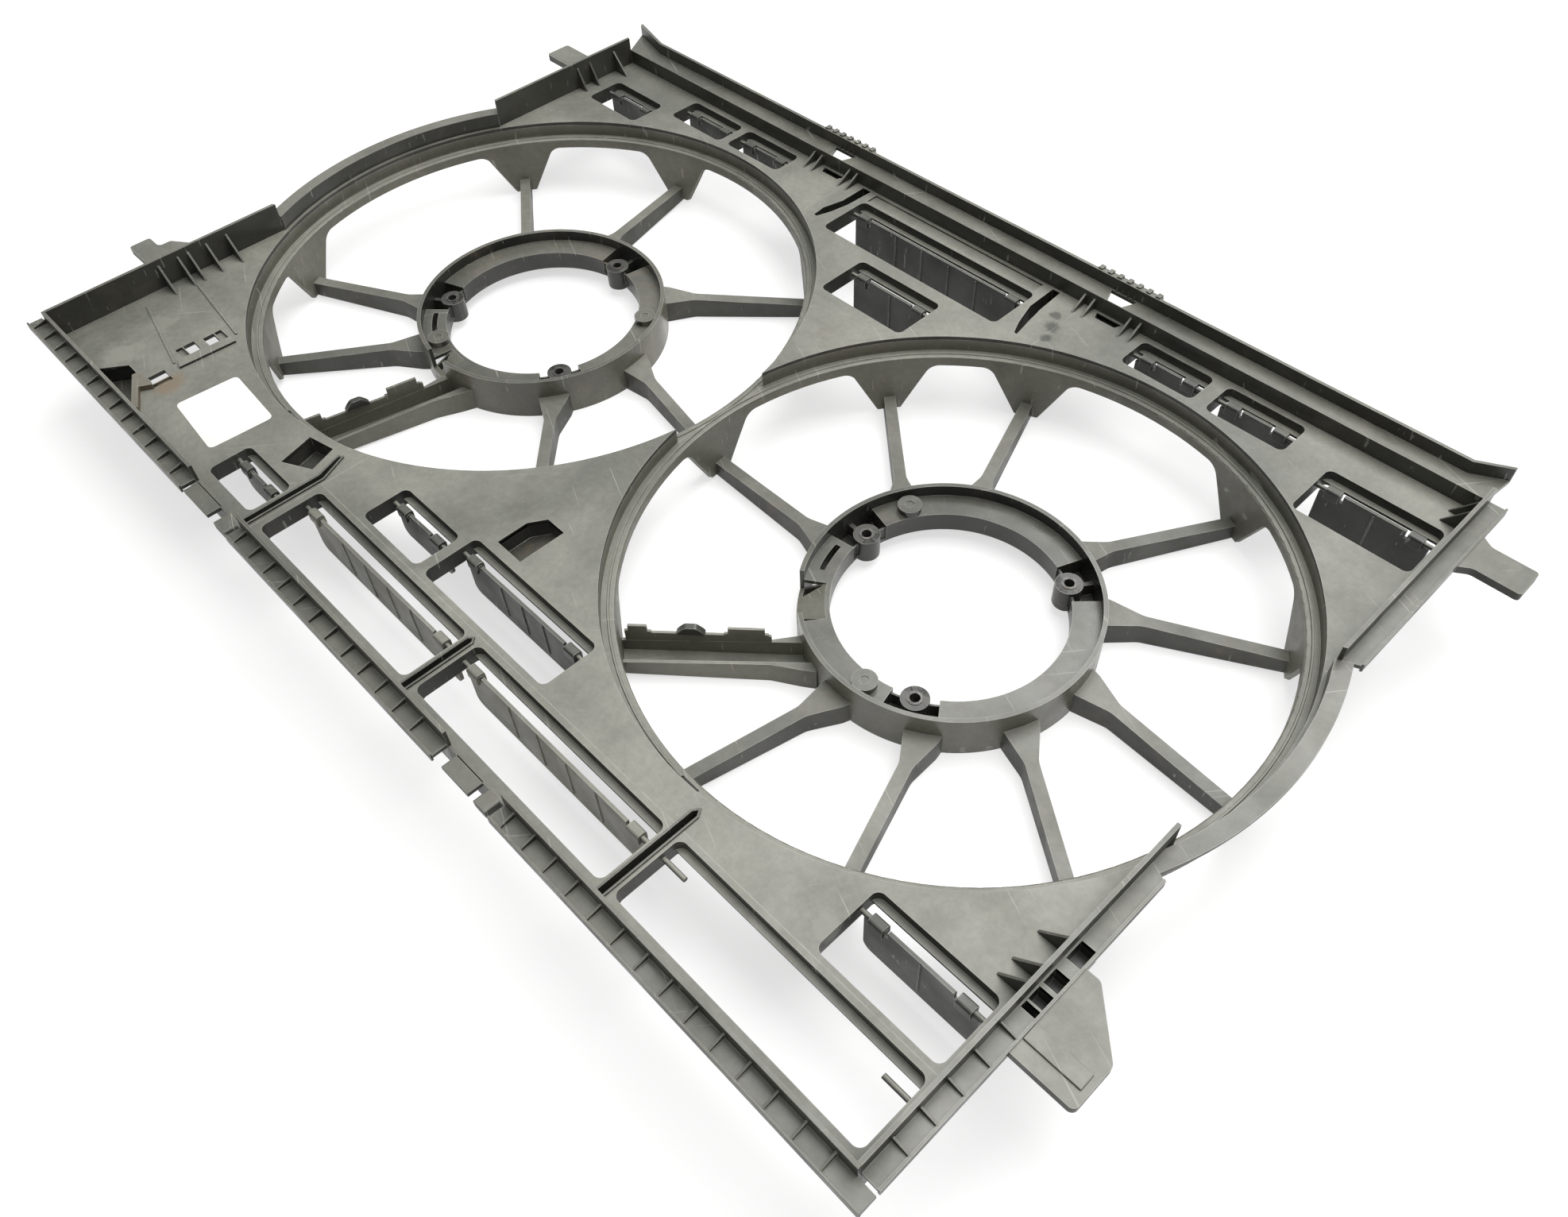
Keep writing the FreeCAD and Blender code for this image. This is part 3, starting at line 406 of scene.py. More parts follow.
def rounded(outline, radius):
    """Each corner cut by a quarter-like arc: points on the curve (1-t)^2 a + 2t(1-t) corner + t^2 b."""
    outline = anticlockwise(outline)
    back = np.roll(outline, 1, axis=0) - outline
    ahead = np.roll(outline, -1, axis=0) - outline
    first = outline + back * (radius / np.linalg.norm(back, axis=1, keepdims=True))
    last = outline + ahead * (radius / np.linalg.norm(ahead, axis=1, keepdims=True))
    t = np.linspace(0.0, 1.0, CORNER_POINTS)[None, :, None]
    arcs = (1 - t) ** 2 * first[:, None] + 2 * t * (1 - t) * outline[:, None] + t ** 2 * last[:, None]
    return arcs.reshape(-1, 2)


# %% Prisms, cups and turned profiles
AXES = {"x": ((2, 0, 1), 1), "y": ((0, 2, 1), -1), "z": ((0, 1, 2), 1)}


def strung(rings):
    """Solid from an array of rings of points: neighbours joined by a face per side, both ends closed."""
    rows, count = rings.shape[:2]
    row, column = np.meshgrid(np.arange(rows - 1), np.arange(count), indexing="ij")
    here, beside = row * count + column, row * count + (column + 1) % count
    sides = np.stack([here, beside, beside + count, here + count], axis=-1).reshape(-1, 4).tolist()
    first = np.arange(count)
    return rings.reshape(-1, 3), sides + [first[::-1].tolist(), (first + (rows - 1) * count).tolist()]


def levels(*outlines):
    """Rings from pairs of an outline and a height."""
    return np.array([np.column_stack([outline, np.full(len(outline), height)])
                     for outline, height in outlines])


def prism(outline, low, high, axis="z"):
    """The outline at the low and at the high end of the axis."""
    order, sense = AXES[axis]
    outline = anticlockwise(outline)[::sense]
    points, faces = strung(levels((outline, low), (outline, high)))
    return points[:, order], faces


def cup(inside, top, bottom, wall):
    """Open vessel of four rings: outside below, outside above, inside above and inside below."""
    inside = anticlockwise(inside)
    outside = grow(inside, wall)
    return strung(levels((outside, bottom - wall), (outside, top), (inside, top), (inside, bottom)))


def swept(profile, start, end, centre=(0.0, 0.0)):
    """Profile of radius r and height z carried round an axis: (r cos a, r sin a, z), a from start to end."""
    turns = np.radians(np.linspace(start, end, int(abs(end - start) / SWEEP_STEP) + 3))
    radius, height = anticlockwise(profile)[::-1].T
    x = radius * np.cos(turns)[:, None] + centre[0]
    y = radius * np.sin(turns)[:, None] + centre[1]
    return strung(np.stack([x, y, np.broadcast_to(height, x.shape)], axis=-1))


def shifted(shape, angle, origin):
    """A shape turned about the upright by an angle in degrees, then moved."""
    points, faces = shape
    cosine, sine = math.cos(math.radians(angle)), math.sin(math.radians(angle))
    turn = np.array([(cosine, sine, 0), (-sine, cosine, 0), (0, 0, 1)])
    return points @ turn + np.array(origin), faces


# %% [markdown]
# The shapes of one piece are joined into one mesh. Where asked, its edges are softened by a live Bevel
# modifier, as on every moulding, so that they catch a thin line of light. To cut a pocket or a window into a
# stretch of the frame, a copy of its mesh is merged, cut by a Boolean and takes the node's place:
# the node itself is never changed.

# %% From shapes to pieces
def joined(name, shapes):
    """One object from shapes in millimetres."""
    points, faces, start = [], [], 0
    for some_points, some_faces in shapes:
        points.append(some_points)
        faces += [[corner + start for corner in face] for face in some_faces]
        start += len(some_points)
    mesh = bpy.data.meshes.new(name)
    mesh.from_pydata((np.vstack(points) * MM + np.array(home)).tolist(), [], faces)
    mesh.update()
    made = bpy.data.objects.new(name, mesh)
    bpy.context.scene.collection.objects.link(made)
    return made


def carve(made, shapes):
    """Cut shapes out of an object and keep the result as its mesh."""
    tool = joined("tool", shapes)
    cut = made.modifiers.new("cut", "BOOLEAN")
    cut.operation, cut.solver, cut.use_self, cut.object = "DIFFERENCE", "EXACT", True, tool
    result = bpy.data.meshes.new_from_object(made.evaluated_get(bpy.context.evaluated_depsgraph_get()))
    made.modifiers.clear()
    made.data = result
    bpy.data.objects.remove(tool)


def settle(made, finish, soft=0.0):
    """Give a piece its finish, its body and, if asked, soft edges of that many millimetres."""
    made.data.materials.clear()
    made.data.materials.append(finishes[finish])
    if soft:
        bevel = made.modifiers.new("soft_edges", "BEVEL")
        bevel.width, bevel.segments, bevel.limit_method, bevel.angle_limit = soft * MM, 2, "ANGLE", 0.6
    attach(made, "shroud")
    return made


def recut(node, shapes, finish):
    """Copy of a node with shapes cut out; the copy stands for the node."""
    mesh = frame["nodes"][node].data.copy()
    work = bmesh.new()
    work.from_mesh(mesh)
    bmesh.ops.remove_doubles(work, verts=work.verts, dist=0.001 * MM)
    work.to_mesh(mesh)
    work.free()
    if "custom_normal" in mesh.attributes:
        mesh.attributes.remove(mesh.attributes["custom_normal"])
    made = bpy.data.objects.new(f"{node}_cut", mesh)
    bpy.context.scene.collection.objects.link(made)
    carve(made, shapes)
    made.data.shade_smooth()
    made.data.set_sharp_from_angle(angle=math.radians(28))
    settle(made, finish)
    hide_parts(node)
    return made


print("shapes ready")

# %% [markdown]
# First the main lines of the frame: where its four sides lie, how thick its plate is, and the row
# of vents along the near side.

# %% Lines of the frame
NEAR, FAR, LEFT, RIGHT = -242.0, 211.0, -333.5, 341.5
ROW = NEAR + 47.0
PLATE, SKIN, SHELF, FLANGE, REACH = 2.5, 2.0, 11.0, 10.0, 9.0
DEEP = 11.0
FANS = {"left": -175.0, "right": 175.0}

# %% [markdown]
# Three narrow troughs stiffen the frame between the vents of the near row. A trough is a cup: its
# dark inside and its two thin bright lips are what the eye sees. Each runs out into the panel in a
# blunt point.

# %% Troughs
BAR_HALF, BAR_WALL, BAR_DEPTH, BAR_LIP = 2.65, 1.1, 12.0, 1.2
BARS = {"left": -109.5, "middle": 41.75, "right": 190.3}
# Each end is drawn from the bar's middle: steps along x, and places along y from the row of vents.
BAR_ENDS = {
    "left": [(BAR_HALF, 3), (-5, 20), (-BAR_HALF - 5.5, 18), (-BAR_HALF, 2)],
    "middle": [(BAR_HALF, -5), (0, -2), (-BAR_HALF, -5)],
    "right": [(BAR_HALF, 9), (0, 13), (-BAR_HALF, 9)],
}
troughs = {}
for name, at in BARS.items():
    ending = [(at + x, ROW + y) for x, y in BAR_ENDS[name]]
    troughs[name] = [(at - BAR_HALF, NEAR), (at + BAR_HALF, NEAR)] + ending
trough_cuts = {name: prism(grow(outline, -0.4), -BAR_DEPTH - 1, 20)
               for name, outline in troughs.items()}
bars = joined("cross_troughs", [cup(grow(outline, -BAR_WALL), BAR_LIP, BAR_WALL - BAR_DEPTH, BAR_WALL)
                                for outline in troughs.values()])
settle(bars, "trough", 0.25)
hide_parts("cross_bars")
print("troughs", len(troughs))

# %% [markdown]
# The panel has blind pockets with skewed outlines, plain windows and a shallow tray. A pocket is a
# hole in the plate with a cup hung under it. The near left stretch also has a low ridge and two
# fold lines that stand up from it.

# %% Pockets, windows and folds of the panel
SKEW = {
    "far_left_panel": [[(-123, FAR - 6.5), (-109, FAR - 6.5), (-107, FAR - 1.7), (-125, FAR - 1.7)]],
    "far_centre_panel": [
        [(-91, FAR - 46), (-88.5, FAR - 46), (-85, FAR - 36), (-82.5, FAR - 23), (-81.5, FAR - 1.7),
         (-88.5, FAR - 1.7), (-88.3, FAR - 22), (-92, FAR - 36)],
        [(80.5, FAR - 50), (82.5, FAR - 50), (78, FAR - 23), (76.5, FAR - 1.7), (71, FAR - 1.7),
         (71.5, FAR - 24), (76.5, FAR - 41)]],
    "far_right_panel": [[(106, FAR - 6.5), (120, FAR - 6.5), (122, FAR - 1.7), (104, FAR - 1.7)]],
    "near_left_panel": [
        [(-137, NEAR + 40.3), (-119, NEAR + 49.5), (-125, NEAR + 66), (-143, NEAR + 62)],
        [(-289, NEAR + 1.7), (-236.5, NEAR + 1.7), (-262.5, NEAR + 18), (-277.5, NEAR + 18)]],
    "near_centre_panel": [[(-2, NEAR + 89.5), (17.5, NEAR + 89.5), (17.5, NEAR + 117.5), (4, NEAR + 117.5),
                           (-2, NEAR + 108)]],
}
WINDOWS = [block(-268, -258, NEAR + 61, NEAR + 68), block(-270, -260, NEAR + 49, NEAR + 56),
           block(-258, -250.5, NEAR + 19, NEAR + 31)]
SHALLOW = [block(-268, -258, NEAR + 68.6, NEAR + 73), block(-270, -260, NEAR + 44, NEAR + 48.4),
           block(-249.9, -246, NEAR + 19, NEAR + 31)]
cuts = {node: [prism(outline, -PLATE - 1, 1) for outline in outlines] for node, outlines in SKEW.items()}
cuts["near_left_panel"] += [prism(outline, -PLATE - 1, 1) for outline in WINDOWS]
cuts["near_left_panel"] += [prism(outline, -0.8 * PLATE, 1) for outline in SHALLOW]
cuts["far_centre_panel"].append(prism(block(-76, 64, FAR - 11.2, FAR - 2.4), -0.5 * PLATE, 1))
for node, names in {"near_left_panel": ["left"], "near_centre_panel": ["left", "right"],
                    "near_right_panel": ["right"], "left_grille": ["left", "middle"],
                    "centre_grille": ["middle", "right"], "right_grille": ["right"]}.items():
    cuts.setdefault(node, []).extend(trough_cuts[name] for name in names)
for node, shapes in cuts.items():
    recut(node, shapes, "panel")
wells = [cup(outline, -1.0, -DEEP, 1.4) for outlines in SKEW.values() for outline in outlines]
settle(joined("panel_pockets", wells), "pocket", 0.2)
ridge = [(-258, NEAR + 40), (-251.5, NEAR + 38), (-249.5, NEAR + 74), (-256, NEAR + 74)]
near_line = [(-323, NEAR + 51), (-258.4, NEAR + 37.4), (-258.4, NEAR + 38.6), (-323, NEAR + 53)]
far_line = [(-320, NEAR + 84), (-256.5, NEAR + 77), (-256.5, NEAR + 78.5), (-320, NEAR + 86)]
folds = [prism(ridge, -0.5, 1.6), prism(near_line, -0.5, 0.9), prism(far_line, -0.5, 0.9)]
settle(joined("panel_folds", folds), "panel", 0.3)
arm = [(-262.5, NEAR + 18.2), (-233.0, NEAR + 4.0), (-236.0, NEAR + 1.0), (-263.0, NEAR + 14.5)]
hook = [(-262.5, NEAR + 18.2), (-250.0, NEAR + 12.0), (-246.0, NEAR + 19.0), (-250.5, NEAR + 20.0)]
bracket = [prism(arm, -DEEP, 3.5), prism(hook, -0.5, 3.5)]
settle(joined("hook_bracket", bracket), "muddy", 0.3)
print("stretches of the panel cut", len(cuts), "pockets", len(wells))

# %% [markdown]
# The near rail is a ladder: an upright wall, a flange that stands out from it, a thin lip along the
# flange's brink, and low ribs between the two. Fresh surfaces take the place of the plainer rail of
# the model, in its three stretches.

# %% Ladder of the near rail
RAIL_DEPTH, RAIL_HEIGHT, FLANGE_THICK, LIP, LIP_DROP = 10.0, 19.0, 2.4, 1.2, 1.5
RIB_PITCH, RIB_THICK, RIB_HEIGHT = 14.7, 1.1, 3.2
BRINK, UNDER = NEAR - SKIN - REACH, FLANGE - FLANGE_THICK
STRETCHES = {
    "left": (LEFT - SKIN - REACH, -147.0, REACH, 0.0),
    "centre": (-97.0, 90.7, 0.0, 0.0),
    "right": (134.0, RIGHT + SKIN + REACH, 0.0, REACH),
}
for name, (start, end, from_left, from_right) in STRETCHES.items():
    wall = block(start + from_left, end - from_right, NEAR - SKIN, NEAR)
    shapes = [prism(wall, -RAIL_DEPTH, RAIL_HEIGHT),
              prism(block(start, end, BRINK + 0.2, NEAR - SKIN + 0.2), UNDER, FLANGE),
              prism(block(start, end, BRINK, BRINK + LIP), UNDER - LIP_DROP, FLANGE + LIP)]
    for at in start + RIB_PITCH * (np.arange(int((end - start) // RIB_PITCH)) + 0.5):
        shapes.append(prism([(BRINK + 0.6, FLANGE - 0.5), (NEAR - SKIN + 0.3, FLANGE - 0.5),
                             (NEAR - SKIN + 0.3, FLANGE + RIB_HEIGHT), (BRINK + 0.6, FLANGE + LIP)],
                            at, at + RIB_THICK, "x"))
    ladder = settle(joined(f"near_ladder_{name}", shapes), "rail", 0.25)
    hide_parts(f"near_rail_{name}")
print("stretches of the near rail", len(STRETCHES))

# %% [markdown]
# Gussets stand between the end walls and the panel. Each is a thin triangle, an outline in the
# upright plane that is extruded along the wall. The flange outside the near end walls has low
# ribs, as the near rail has.

# %% Gussets and ribs of the end walls
GUSSET_HEIGHT, GUSSET_THICK = 15.0, 1.4
GUSSETS = {
    (LEFT, 1): ((-171.0, 13.5), (-158.0, 13.5), (-151.0, 13.5), (-138.5, 13.5), (-124.5, 13.5),
                (161.0, 8.5), (172.5, 8.5), (195.0, 13.5)),
    (RIGHT, -1): ((-148.5, 14.0), (-139.5, 14.0), (-123.4, 14.0), (194.0, 12.0), (203.0, 12.0)),
}
FLANGE_RIBS, FIRST_RIB = 5, NEAR + 15.4
thin = GUSSET_THICK / 2
gussets = []
for (x, inward), places in GUSSETS.items():
    for at, reach in places:
        back, tip = x - inward, x + inward * reach
        triangle = [(back, -1), (back, GUSSET_HEIGHT), (x, GUSSET_HEIGHT), (tip, 0), (tip, -1)]
        gussets.append(prism(triangle, at - thin, at + thin, "y"))
    foot, brink = x - inward * SKIN, x - inward * (SKIN + REACH - 0.6)
    for at in FIRST_RIB + RIB_PITCH * np.arange(FLANGE_RIBS):
        gussets.append(prism([(foot, FLANGE - 1), (foot, FLANGE + RIB_HEIGHT), (brink, FLANGE + 1.2),
                              (brink, FLANGE - 1)], at, at + RIB_THICK, "y"))
settle(joined("end_gussets", gussets), "rib", 0.2)
print("gussets and ribs", len(gussets))

# %% [markdown]
# Beside the near right arm the flange has four deep wells, one behind the other, and the arm itself
# carries a raised band that is scuffed pale.

# %% Wells of the right flange and band of the arm
WELLS = [block(RIGHT + SKIN + 0.8, RIGHT + SKIN + REACH - 1.4, low, high)
         for low, high in ((-129, -119), (-143, -135), (-152, -145), (-156.4, -153))]
recut("right_near_wall", [prism(outline, FLANGE - 4, FLANGE + 6) for outline in WELLS], "rail")
linings = [cup(outline, FLANGE - 0.6, 1.0, 0.8) for outline in WELLS]
settle(joined("flange_wells", linings), "pocket", 0.15)
band = [prism(block(RIGHT + 11.2, RIGHT + 38.0, -165.5, -157.5), FLANGE - 1, FLANGE + 1.0)]
settle(joined("arm_band", band), "panel", 0.4)
print("wells", len(WELLS))

# %% [markdown]
# The far rail has two places where a cooling pack clips on: a skewed window in its shelf, a
# toothed block outside its wall, four fine ribs and four gussets. The near rail has two clip places
# as well, each with a low wall, a flat tongue and a round finger.

# %% Clip places of the rails
CLIPS = {"left": -116.0, "right": 113.0}
CLIP_HALF, BLOCK_HALF, BLOCK_TOP = 9.0, 25.0, 17.4
TOOTH, TOOTH_PITCH, TOOTH_TOP = 3.0, 6.8, 18.9
TONGUES = ((-147.0, -97.0, (-146.0, -120.0), (-113.0, -101.0)),
           (90.7, 134.0, (97.0, 117.0), (121.0, 130.5)))
OUTER = FAR + SHELF + SKIN
holes, clips = [], []
for middle_x in CLIPS.values():
    low, high = middle_x - CLIP_HALF, middle_x + CLIP_HALF
    holes.append(prism([(low + 4, FAR + 0.5), (high - 4, FAR + 0.5), (high - 2, FAR + 5), (high, FAR + 10),
                        (low, FAR + 10), (low + 2, FAR + 5)], 5, 12))
    first, last = middle_x - BLOCK_HALF, middle_x + BLOCK_HALF
    body = [(first, OUTER - 1), (first + 3, OUTER + 3), (last - 3, OUTER + 3), (last, OUTER - 1)]
    clips.append(prism(body, FLANGE, BLOCK_TOP))
    clips += [prism(block(start, start + TOOTH, OUTER - 1, OUTER + 3), BLOCK_TOP - 1, TOOTH_TOP)
              for start in np.arange(first + 3, last - TOOTH, TOOTH_PITCH)]
    for along in (-6.0, -2.0, 2.0, 6.0):
        clips.append(prism([(FAR + 9.8, FLANGE - 1), (OUTER - 1, FLANGE - 1), (OUTER - 1, 17)],
                           middle_x + along - 0.5, middle_x + along + 0.5, "x"))
    for away in (-20.0, -13.0, 13.0, 20.0):
        clips.append(prism([(FAR - 12.5, -1), (FAR - 12.5, 0), (FAR + 1, FLANGE - 2.4), (FAR + 1, -1)],
                           middle_x + away - thin, middle_x + away + thin, "x"))
recut("far_rail", holes, "rail")
for start, end, tongue, finger in TONGUES:
    clips.append(prism(block(start - 1, end + 1, NEAR - SKIN, NEAR), -10, 8))
    clips.append(prism(block(*tongue, NEAR - SKIN - 8, NEAR - 1), 5.6, 8))
    clips.append(prism(rounded(block(*finger, 3, 8.5), 2.0), NEAR - SKIN - 8, NEAR - 1, "y"))
settle(joined("rail_clips", clips), "rib", 0.25)
print("shapes of the clip places", len(clips))

# %% [markdown]
# In each motor ring the floor is cut away round the three screw bosses, down to a lower floor with
# fine ribs. A curved groove guides the cable, and a ramp lets it out over the cable spoke. The
# lower floors and the ramp are profiles carried round the fan axis.

# %% Recesses of the motor rings
BORE, INSIDE, RING, FLOOR = 62.5, 77.2, 79.7, -30.0
LOW_FLOOR, SCREW_CIRCLE, BOSS, BUSH = -42.0, 64.0, 7.5, 4.2
HALF, OVER = 11.0, 1.5
SCREWS = {"left": 92.0, "right": 56.0}
RAMPS = {"left": (261.0, 273.0), "right": (213.0, 234.0)}
RAMP_INNER, NOTCH_INNER = 64.8, 66.5
STEP_SLOT = (173.4, 176.0, 267.2, 271.0)


def bar_profile(inner, outer, low, high):
    """Upright rectangle of radii and heights."""
    return [(inner, low), (outer, low), (outer, high), (inner, high)]


def on_circle(radius, angle):
    """Point at a radius and an angle in radians: (r cos a, r sin a)."""
    return radius * np.array([math.cos(angle), math.sin(angle)])


def recess_shapes(angle, centre):
    """What stands in the recess round one screw: lower floor, two side walls, boss and ribs."""
    floor = bar_profile(BORE, INSIDE + 0.4, LOW_FLOOR, LOW_FLOOR + 1.6)
    wall = bar_profile(BORE, INSIDE + 0.4, LOW_FLOOR + 0.5, FLOOR - 1)
    inner_rib = bar_profile(63.4, 64.6, LOW_FLOOR + 0.5, FLOOR - 2.5)
    outer_rib = bar_profile(70.5, INSIDE + 0.4, LOW_FLOOR + 0.5, FLOOR - 2.5)
    shapes = [swept(floor, angle - HALF - 1.4, angle + HALF + 1.4, centre)]
    for sign in (-1, 1):
        ends = sorted((angle + sign * HALF, angle + sign * (HALF + OVER)))
        shapes.append(swept(wall, *ends, centre))
        ends = sorted((angle + sign * 5, angle + sign * (HALF + 0.7)))
        shapes.append(swept(inner_rib, *ends, centre))
    shapes.append(swept(outer_rib, angle - 1, angle + 1, centre))
    seat = on_circle(SCREW_CIRCLE, math.radians(angle)) + centre
    shapes.append(swept(bar_profile(BUSH - 0.1, BOSS, LOW_FLOOR - 2, FLOOR), 0, 360, seat))
    return shapes


for side, fan_x in FANS.items():
    centre = (fan_x, 0.0)
    screws = [SCREWS[side] + turn for turn in (0, 120, 240)]
    recesses = [sector(BORE - 1, INSIDE, angle - HALF, angle + HALF, centre) for angle in screws]
    holes = [prism(outline, -45, -29) for outline in recesses]
    start = screws[1] + HALF + 3
    groove = sector(68.3, 71.7, start, start + 16, centre)
    holes.append(prism(groove, -33, -29))
    first, last = RAMPS[side]
    holes.append(prism(sector(65, RING + 1, first, last, centre), -44, -20))
    recut(f"{side}_motor_ring", holes, f"{side}_ring")
    recut(f"{side}_fan_ring", [prism(sector(*STEP_SLOT, centre), -13, -8)], "fan_ring")
    shapes = [shape for angle in screws for shape in recess_shapes(angle, centre)]
    shapes.append(cup(groove, FLOOR - 1, -38, 1.2))
    settle(joined(f"{side}_ring_recesses", shapes), "pocket", 0.2)
    slope = [(RAMP_INNER, FLOOR), (RING, -38), (RING, -43), (RAMP_INNER, -43)]
    ramp = joined(f"{side}_cable_ramp", [swept(slope, first - 0.3, last + 0.3, centre)])
    notches = []
    for a, b in np.radians([(first + 0.6, first + 5), (last - 0.6, last - 5)]):
        corners = np.array([on_circle(NOTCH_INNER, a), on_circle(INSIDE, a), on_circle(INSIDE, b)])
        notches.append(prism(corners + centre, -41, -20))
    carve(ramp, notches)
    settle(ramp, f"{side}_ring")
print("screw recesses", 3 * len(FANS))

# %% [markdown]
# The cable spoke's far wall is higher than its near wall and has castle-like steps. A rounded clip
# rides on it. Both are outlines of distance and height, extruded across the spoke and then turned
# to its direction.

# %% Castellated walls and clips of the cable spokes
DUCTS = {"left": (267, 279), "right": (233, 246)}
WALL_TOP, WALL_FOOT, MERLON = -31.0, -39.0, 5.0
CREST = 171.0


def spoke_run(side):
    """Start of one cable spoke at the motor ring and its run from there, both from the fan's axis."""
    outer, inner = (math.radians(angle) for angle in DUCTS[side])
    start = on_circle(RING, inner)
    return start, on_circle(CREST, outer) - start


def along_spoke(side, shape):
    """A shape drawn along a level line, put on the cable spoke of one fan."""
    start, run = spoke_run(side)
    heading = math.degrees(math.atan2(run[1], run[0]))
    return shifted(shape, heading, (start[0] + FANS[side], start[1], 0.0))


for side in FANS:
    length = math.hypot(*spoke_run(side)[1])
    top = WALL_TOP + MERLON
    steps = [(length - 1, WALL_FOOT), (18, WALL_FOOT), (18, WALL_TOP)]
    for first, last in ((21.3, 40.3), (length - 13, length - 3)):
        steps += [(first - 2, WALL_TOP), (first - 2, WALL_TOP + 1), (first, WALL_TOP + 1), (first, top),
                  (last, top), (last, WALL_TOP + 1), (last + 2, WALL_TOP + 1), (last + 2, WALL_TOP)]
    crest = along_spoke(side, prism(steps, -7.9, -6.3, "y"))
    settle(joined(f"{side}_cable_crest", [crest]), "fan_ring", 0.25)
    lump = rounded([(51.5, WALL_TOP), (67.5, WALL_TOP), (65.5, WALL_TOP + 2.7), (62.5, WALL_TOP + 5.5),
                    (56.5, WALL_TOP + 5.5), (53.5, WALL_TOP + 2.7)], 1.2)
    clip = along_spoke(side, prism(lump, -9.0, -5.2, "y"))
    settle(joined(f"{side}_cable_clip", [clip]), "clip", 0.4)
print("cable spokes dressed", len(FANS))

# %% [markdown]
# A blank white sticker lies on the near left stretch of the panel: a thin plate with round corners.

# %% Sticker
sticker = [(-220.8, -183.3), (-172.8, -186.3), (-175.0, -224.7), (-223.8, -220.8)]
settle(joined("blank_sticker", [prism(rounded(sticker, 3.5), 0.0, 0.15)]), "label")
print("sticker placed")

# %% [markdown]
# The photograph was taken on a white bench with soft light from above, stronger from the far side.
# The floor is a plain white sheet. To the camera it shows mostly its own white, so that it stays
# bright, and a share of its shading, so that the shadows are kept.

# %% Floor
FLOOR_HALF = 4.0


def bench_white():
    """White sheet whose shading is softened for the camera only."""
    recipe = Recipe("bench_white")
    tree = recipe.tree
    cloud = recipe.ramp(recipe.noise(3.0, 3.0), 0.3, 0.7)
    colour = recipe.blend(cloud, (0.90, 0.90, 0.89), (0.94, 0.94, 0.93))
    recipe.finish(colour, 0.6, recipe.bump(recipe.noise(40.0, 3.0), 0.0004, 0.2))
    glow = recipe.add("Emission", {"Color": (1.0, 1.0, 1.0, 1.0), "Strength": 1.0})
    seen = recipe.add("LightPath", {})
    plain = recipe.sum("MAXIMUM", seen.outputs["Is Camera Ray"], seen.outputs["Is Glossy Ray"])
    share = recipe.sum("MULTIPLY", plain, 0.62)
    mixed = recipe.add("MixShader", {0: share, 1: recipe.shader.outputs[0], 2: glow.outputs[0]})
    tree.links.new(mixed.outputs[0], tree.nodes["Material Output"].inputs["Surface"])
    return recipe.material


floor_mesh = bpy.data.meshes.new("bench")
corners = np.array([(-1, -1), (1, -1), (1, 1), (-1, 1)]) * FLOOR_HALF
floor_mesh.from_pydata([(x, y, cad_box[0].z) for x, y in corners], [], [(0, 1, 2, 3)])
bench = bpy.data.objects.new("bench", floor_mesh)
bpy.context.scene.collection.objects.link(bench)
bench.data.materials.append(bench_white())
print("bench at", round(cad_box[0].z, 4))

# %% [markdown]
# Two large soft lamps and a pale sky light the part at a plain level: a white card lying flat
# would render just about white. The sky is brightest overhead, a little to the far left, and fades
# toward the bench. The camera sees it plain white.

# %% Light
LAMPS = {
    "overhead": ((0.15, 0.85, 2.0), 2.0, 70.0),
    "fill": ((1.6, -1.4, 1.8), 1.6, 12.0),
}
BRIGHT_SKY = (-0.18, 0.30, 0.94)
SKY_FADE = {"From Min": -0.15, "From Max": 0.85, "To Min": 0.10, "To Max": 0.80}


def soft_lamp(name, where, side, power):
    """Square area lamp that looks at the middle of the part."""
    data = bpy.data.lights.new(name, "AREA")
    data.shape = "SQUARE"
    data.size = side
    data.energy = power
    lamp = bpy.data.objects.new(name, data)
    lamp.location = home + Vector(where)
    lamp.rotation_euler = (home - lamp.location).to_track_quat("-Z", "Y").to_euler()
    bpy.context.scene.collection.objects.link(lamp)


for name, (where, side, power) in LAMPS.items():
    soft_lamp(name, where, side, power)

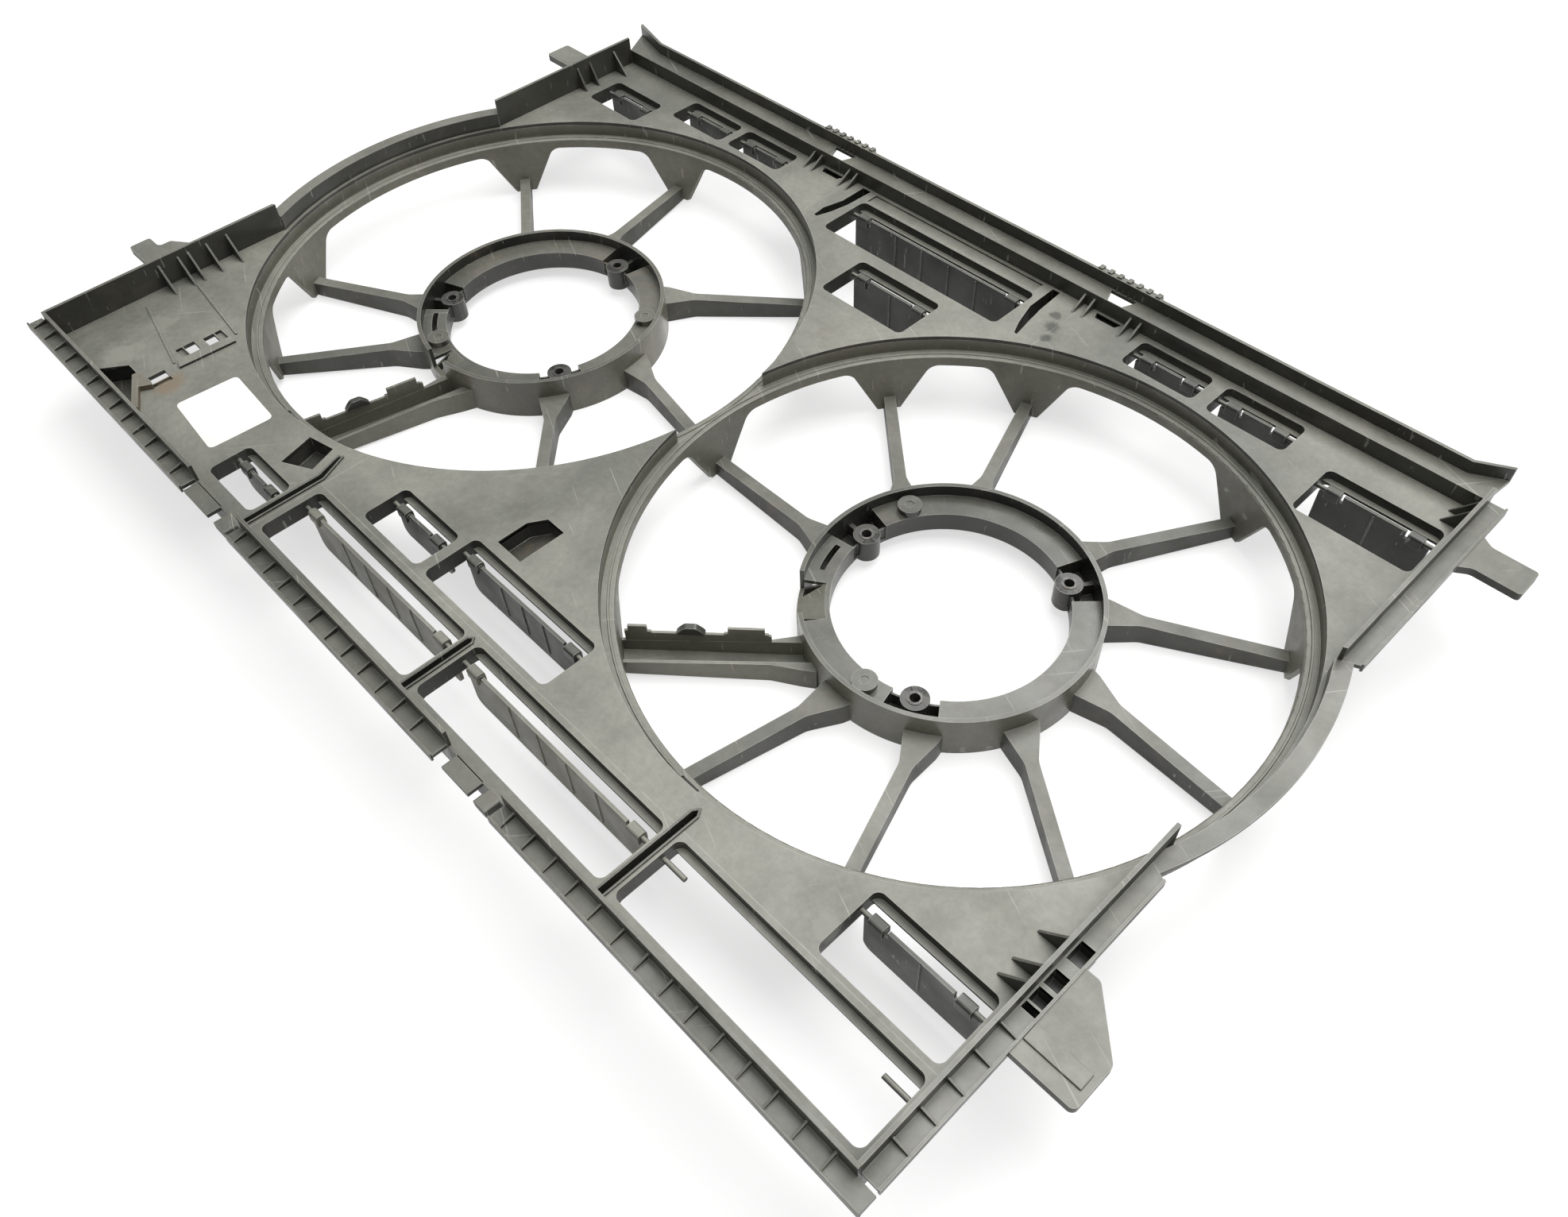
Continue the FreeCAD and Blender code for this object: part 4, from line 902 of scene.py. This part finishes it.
world = bpy.data.worlds.new("pale_sky")
world.use_nodes = True
sky = world.node_tree.nodes["Background"]
sky.inputs["Color"].default_value = (1.0, 1.0, 1.0, 1.0)
nodes, links = world.node_tree.nodes, world.node_tree.links
path = nodes.new("ShaderNodeLightPath")
heading = nodes.new("ShaderNodeTexCoord")
toward = nodes.new("ShaderNodeVectorMath")
toward.operation = "DOT_PRODUCT"
toward.inputs[1].default_value = BRIGHT_SKY
fade = nodes.new("ShaderNodeMapRange")
fade.interpolation_type = "SMOOTHSTEP"
for socket, value in SKY_FADE.items():
    fade.inputs[socket].default_value = value
strength = nodes.new("ShaderNodeMix")
strength.inputs[3].default_value = 1.0
links.new(heading.outputs["Generated"], toward.inputs[0])
links.new(toward.outputs["Value"], fade.inputs["Value"])
links.new(fade.outputs["Result"], strength.inputs[2])
links.new(path.outputs["Is Camera Ray"], strength.inputs[0])
links.new(strength.outputs[0], sky.inputs["Strength"])
bpy.context.scene.world = world
bpy.context.scene.view_settings.view_transform = "Standard"
print("lamps", sorted(LAMPS))

# %% [markdown]
# The camera stands near the right end of the part and looks back across it. Its place, in
# millimetres from midway between the fans, its two angles, its roll and its lens were worked out
# from the straight edges and the round openings of the photograph.

# %% Camera
CAMERA_PLACE = (424.7, -336.5, 474.56)
CAMERA_TURN = 48.422
CAMERA_DROP = 50.790
CAMERA_ROLL = -2.973
LENS = 28.82

turn, drop, roll = (math.radians(angle) for angle in (CAMERA_TURN, CAMERA_DROP, CAMERA_ROLL))
back = Vector((math.sin(turn) * math.cos(drop), -math.cos(turn) * math.cos(drop), math.sin(drop)))
right = Vector((math.cos(turn), math.sin(turn), 0.0))
up = back.cross(right)
level = Matrix((right, up, back)).transposed()
camera_data = bpy.data.cameras.new("camera")
camera_data.sensor_width = 36.0
camera_data.lens = LENS
camera_data.clip_start = 0.01
camera_data.clip_end = 50.0
camera = bpy.data.objects.new("camera", camera_data)
tilted = (level @ Matrix.Rotation(roll, 3, "Z")).to_4x4()
camera.matrix_world = Matrix.Translation(place(*CAMERA_PLACE)) @ tilted
bpy.context.scene.collection.objects.link(camera)
bpy.context.scene.camera = camera
print("camera at", [round(value, 3) for value in camera.location])
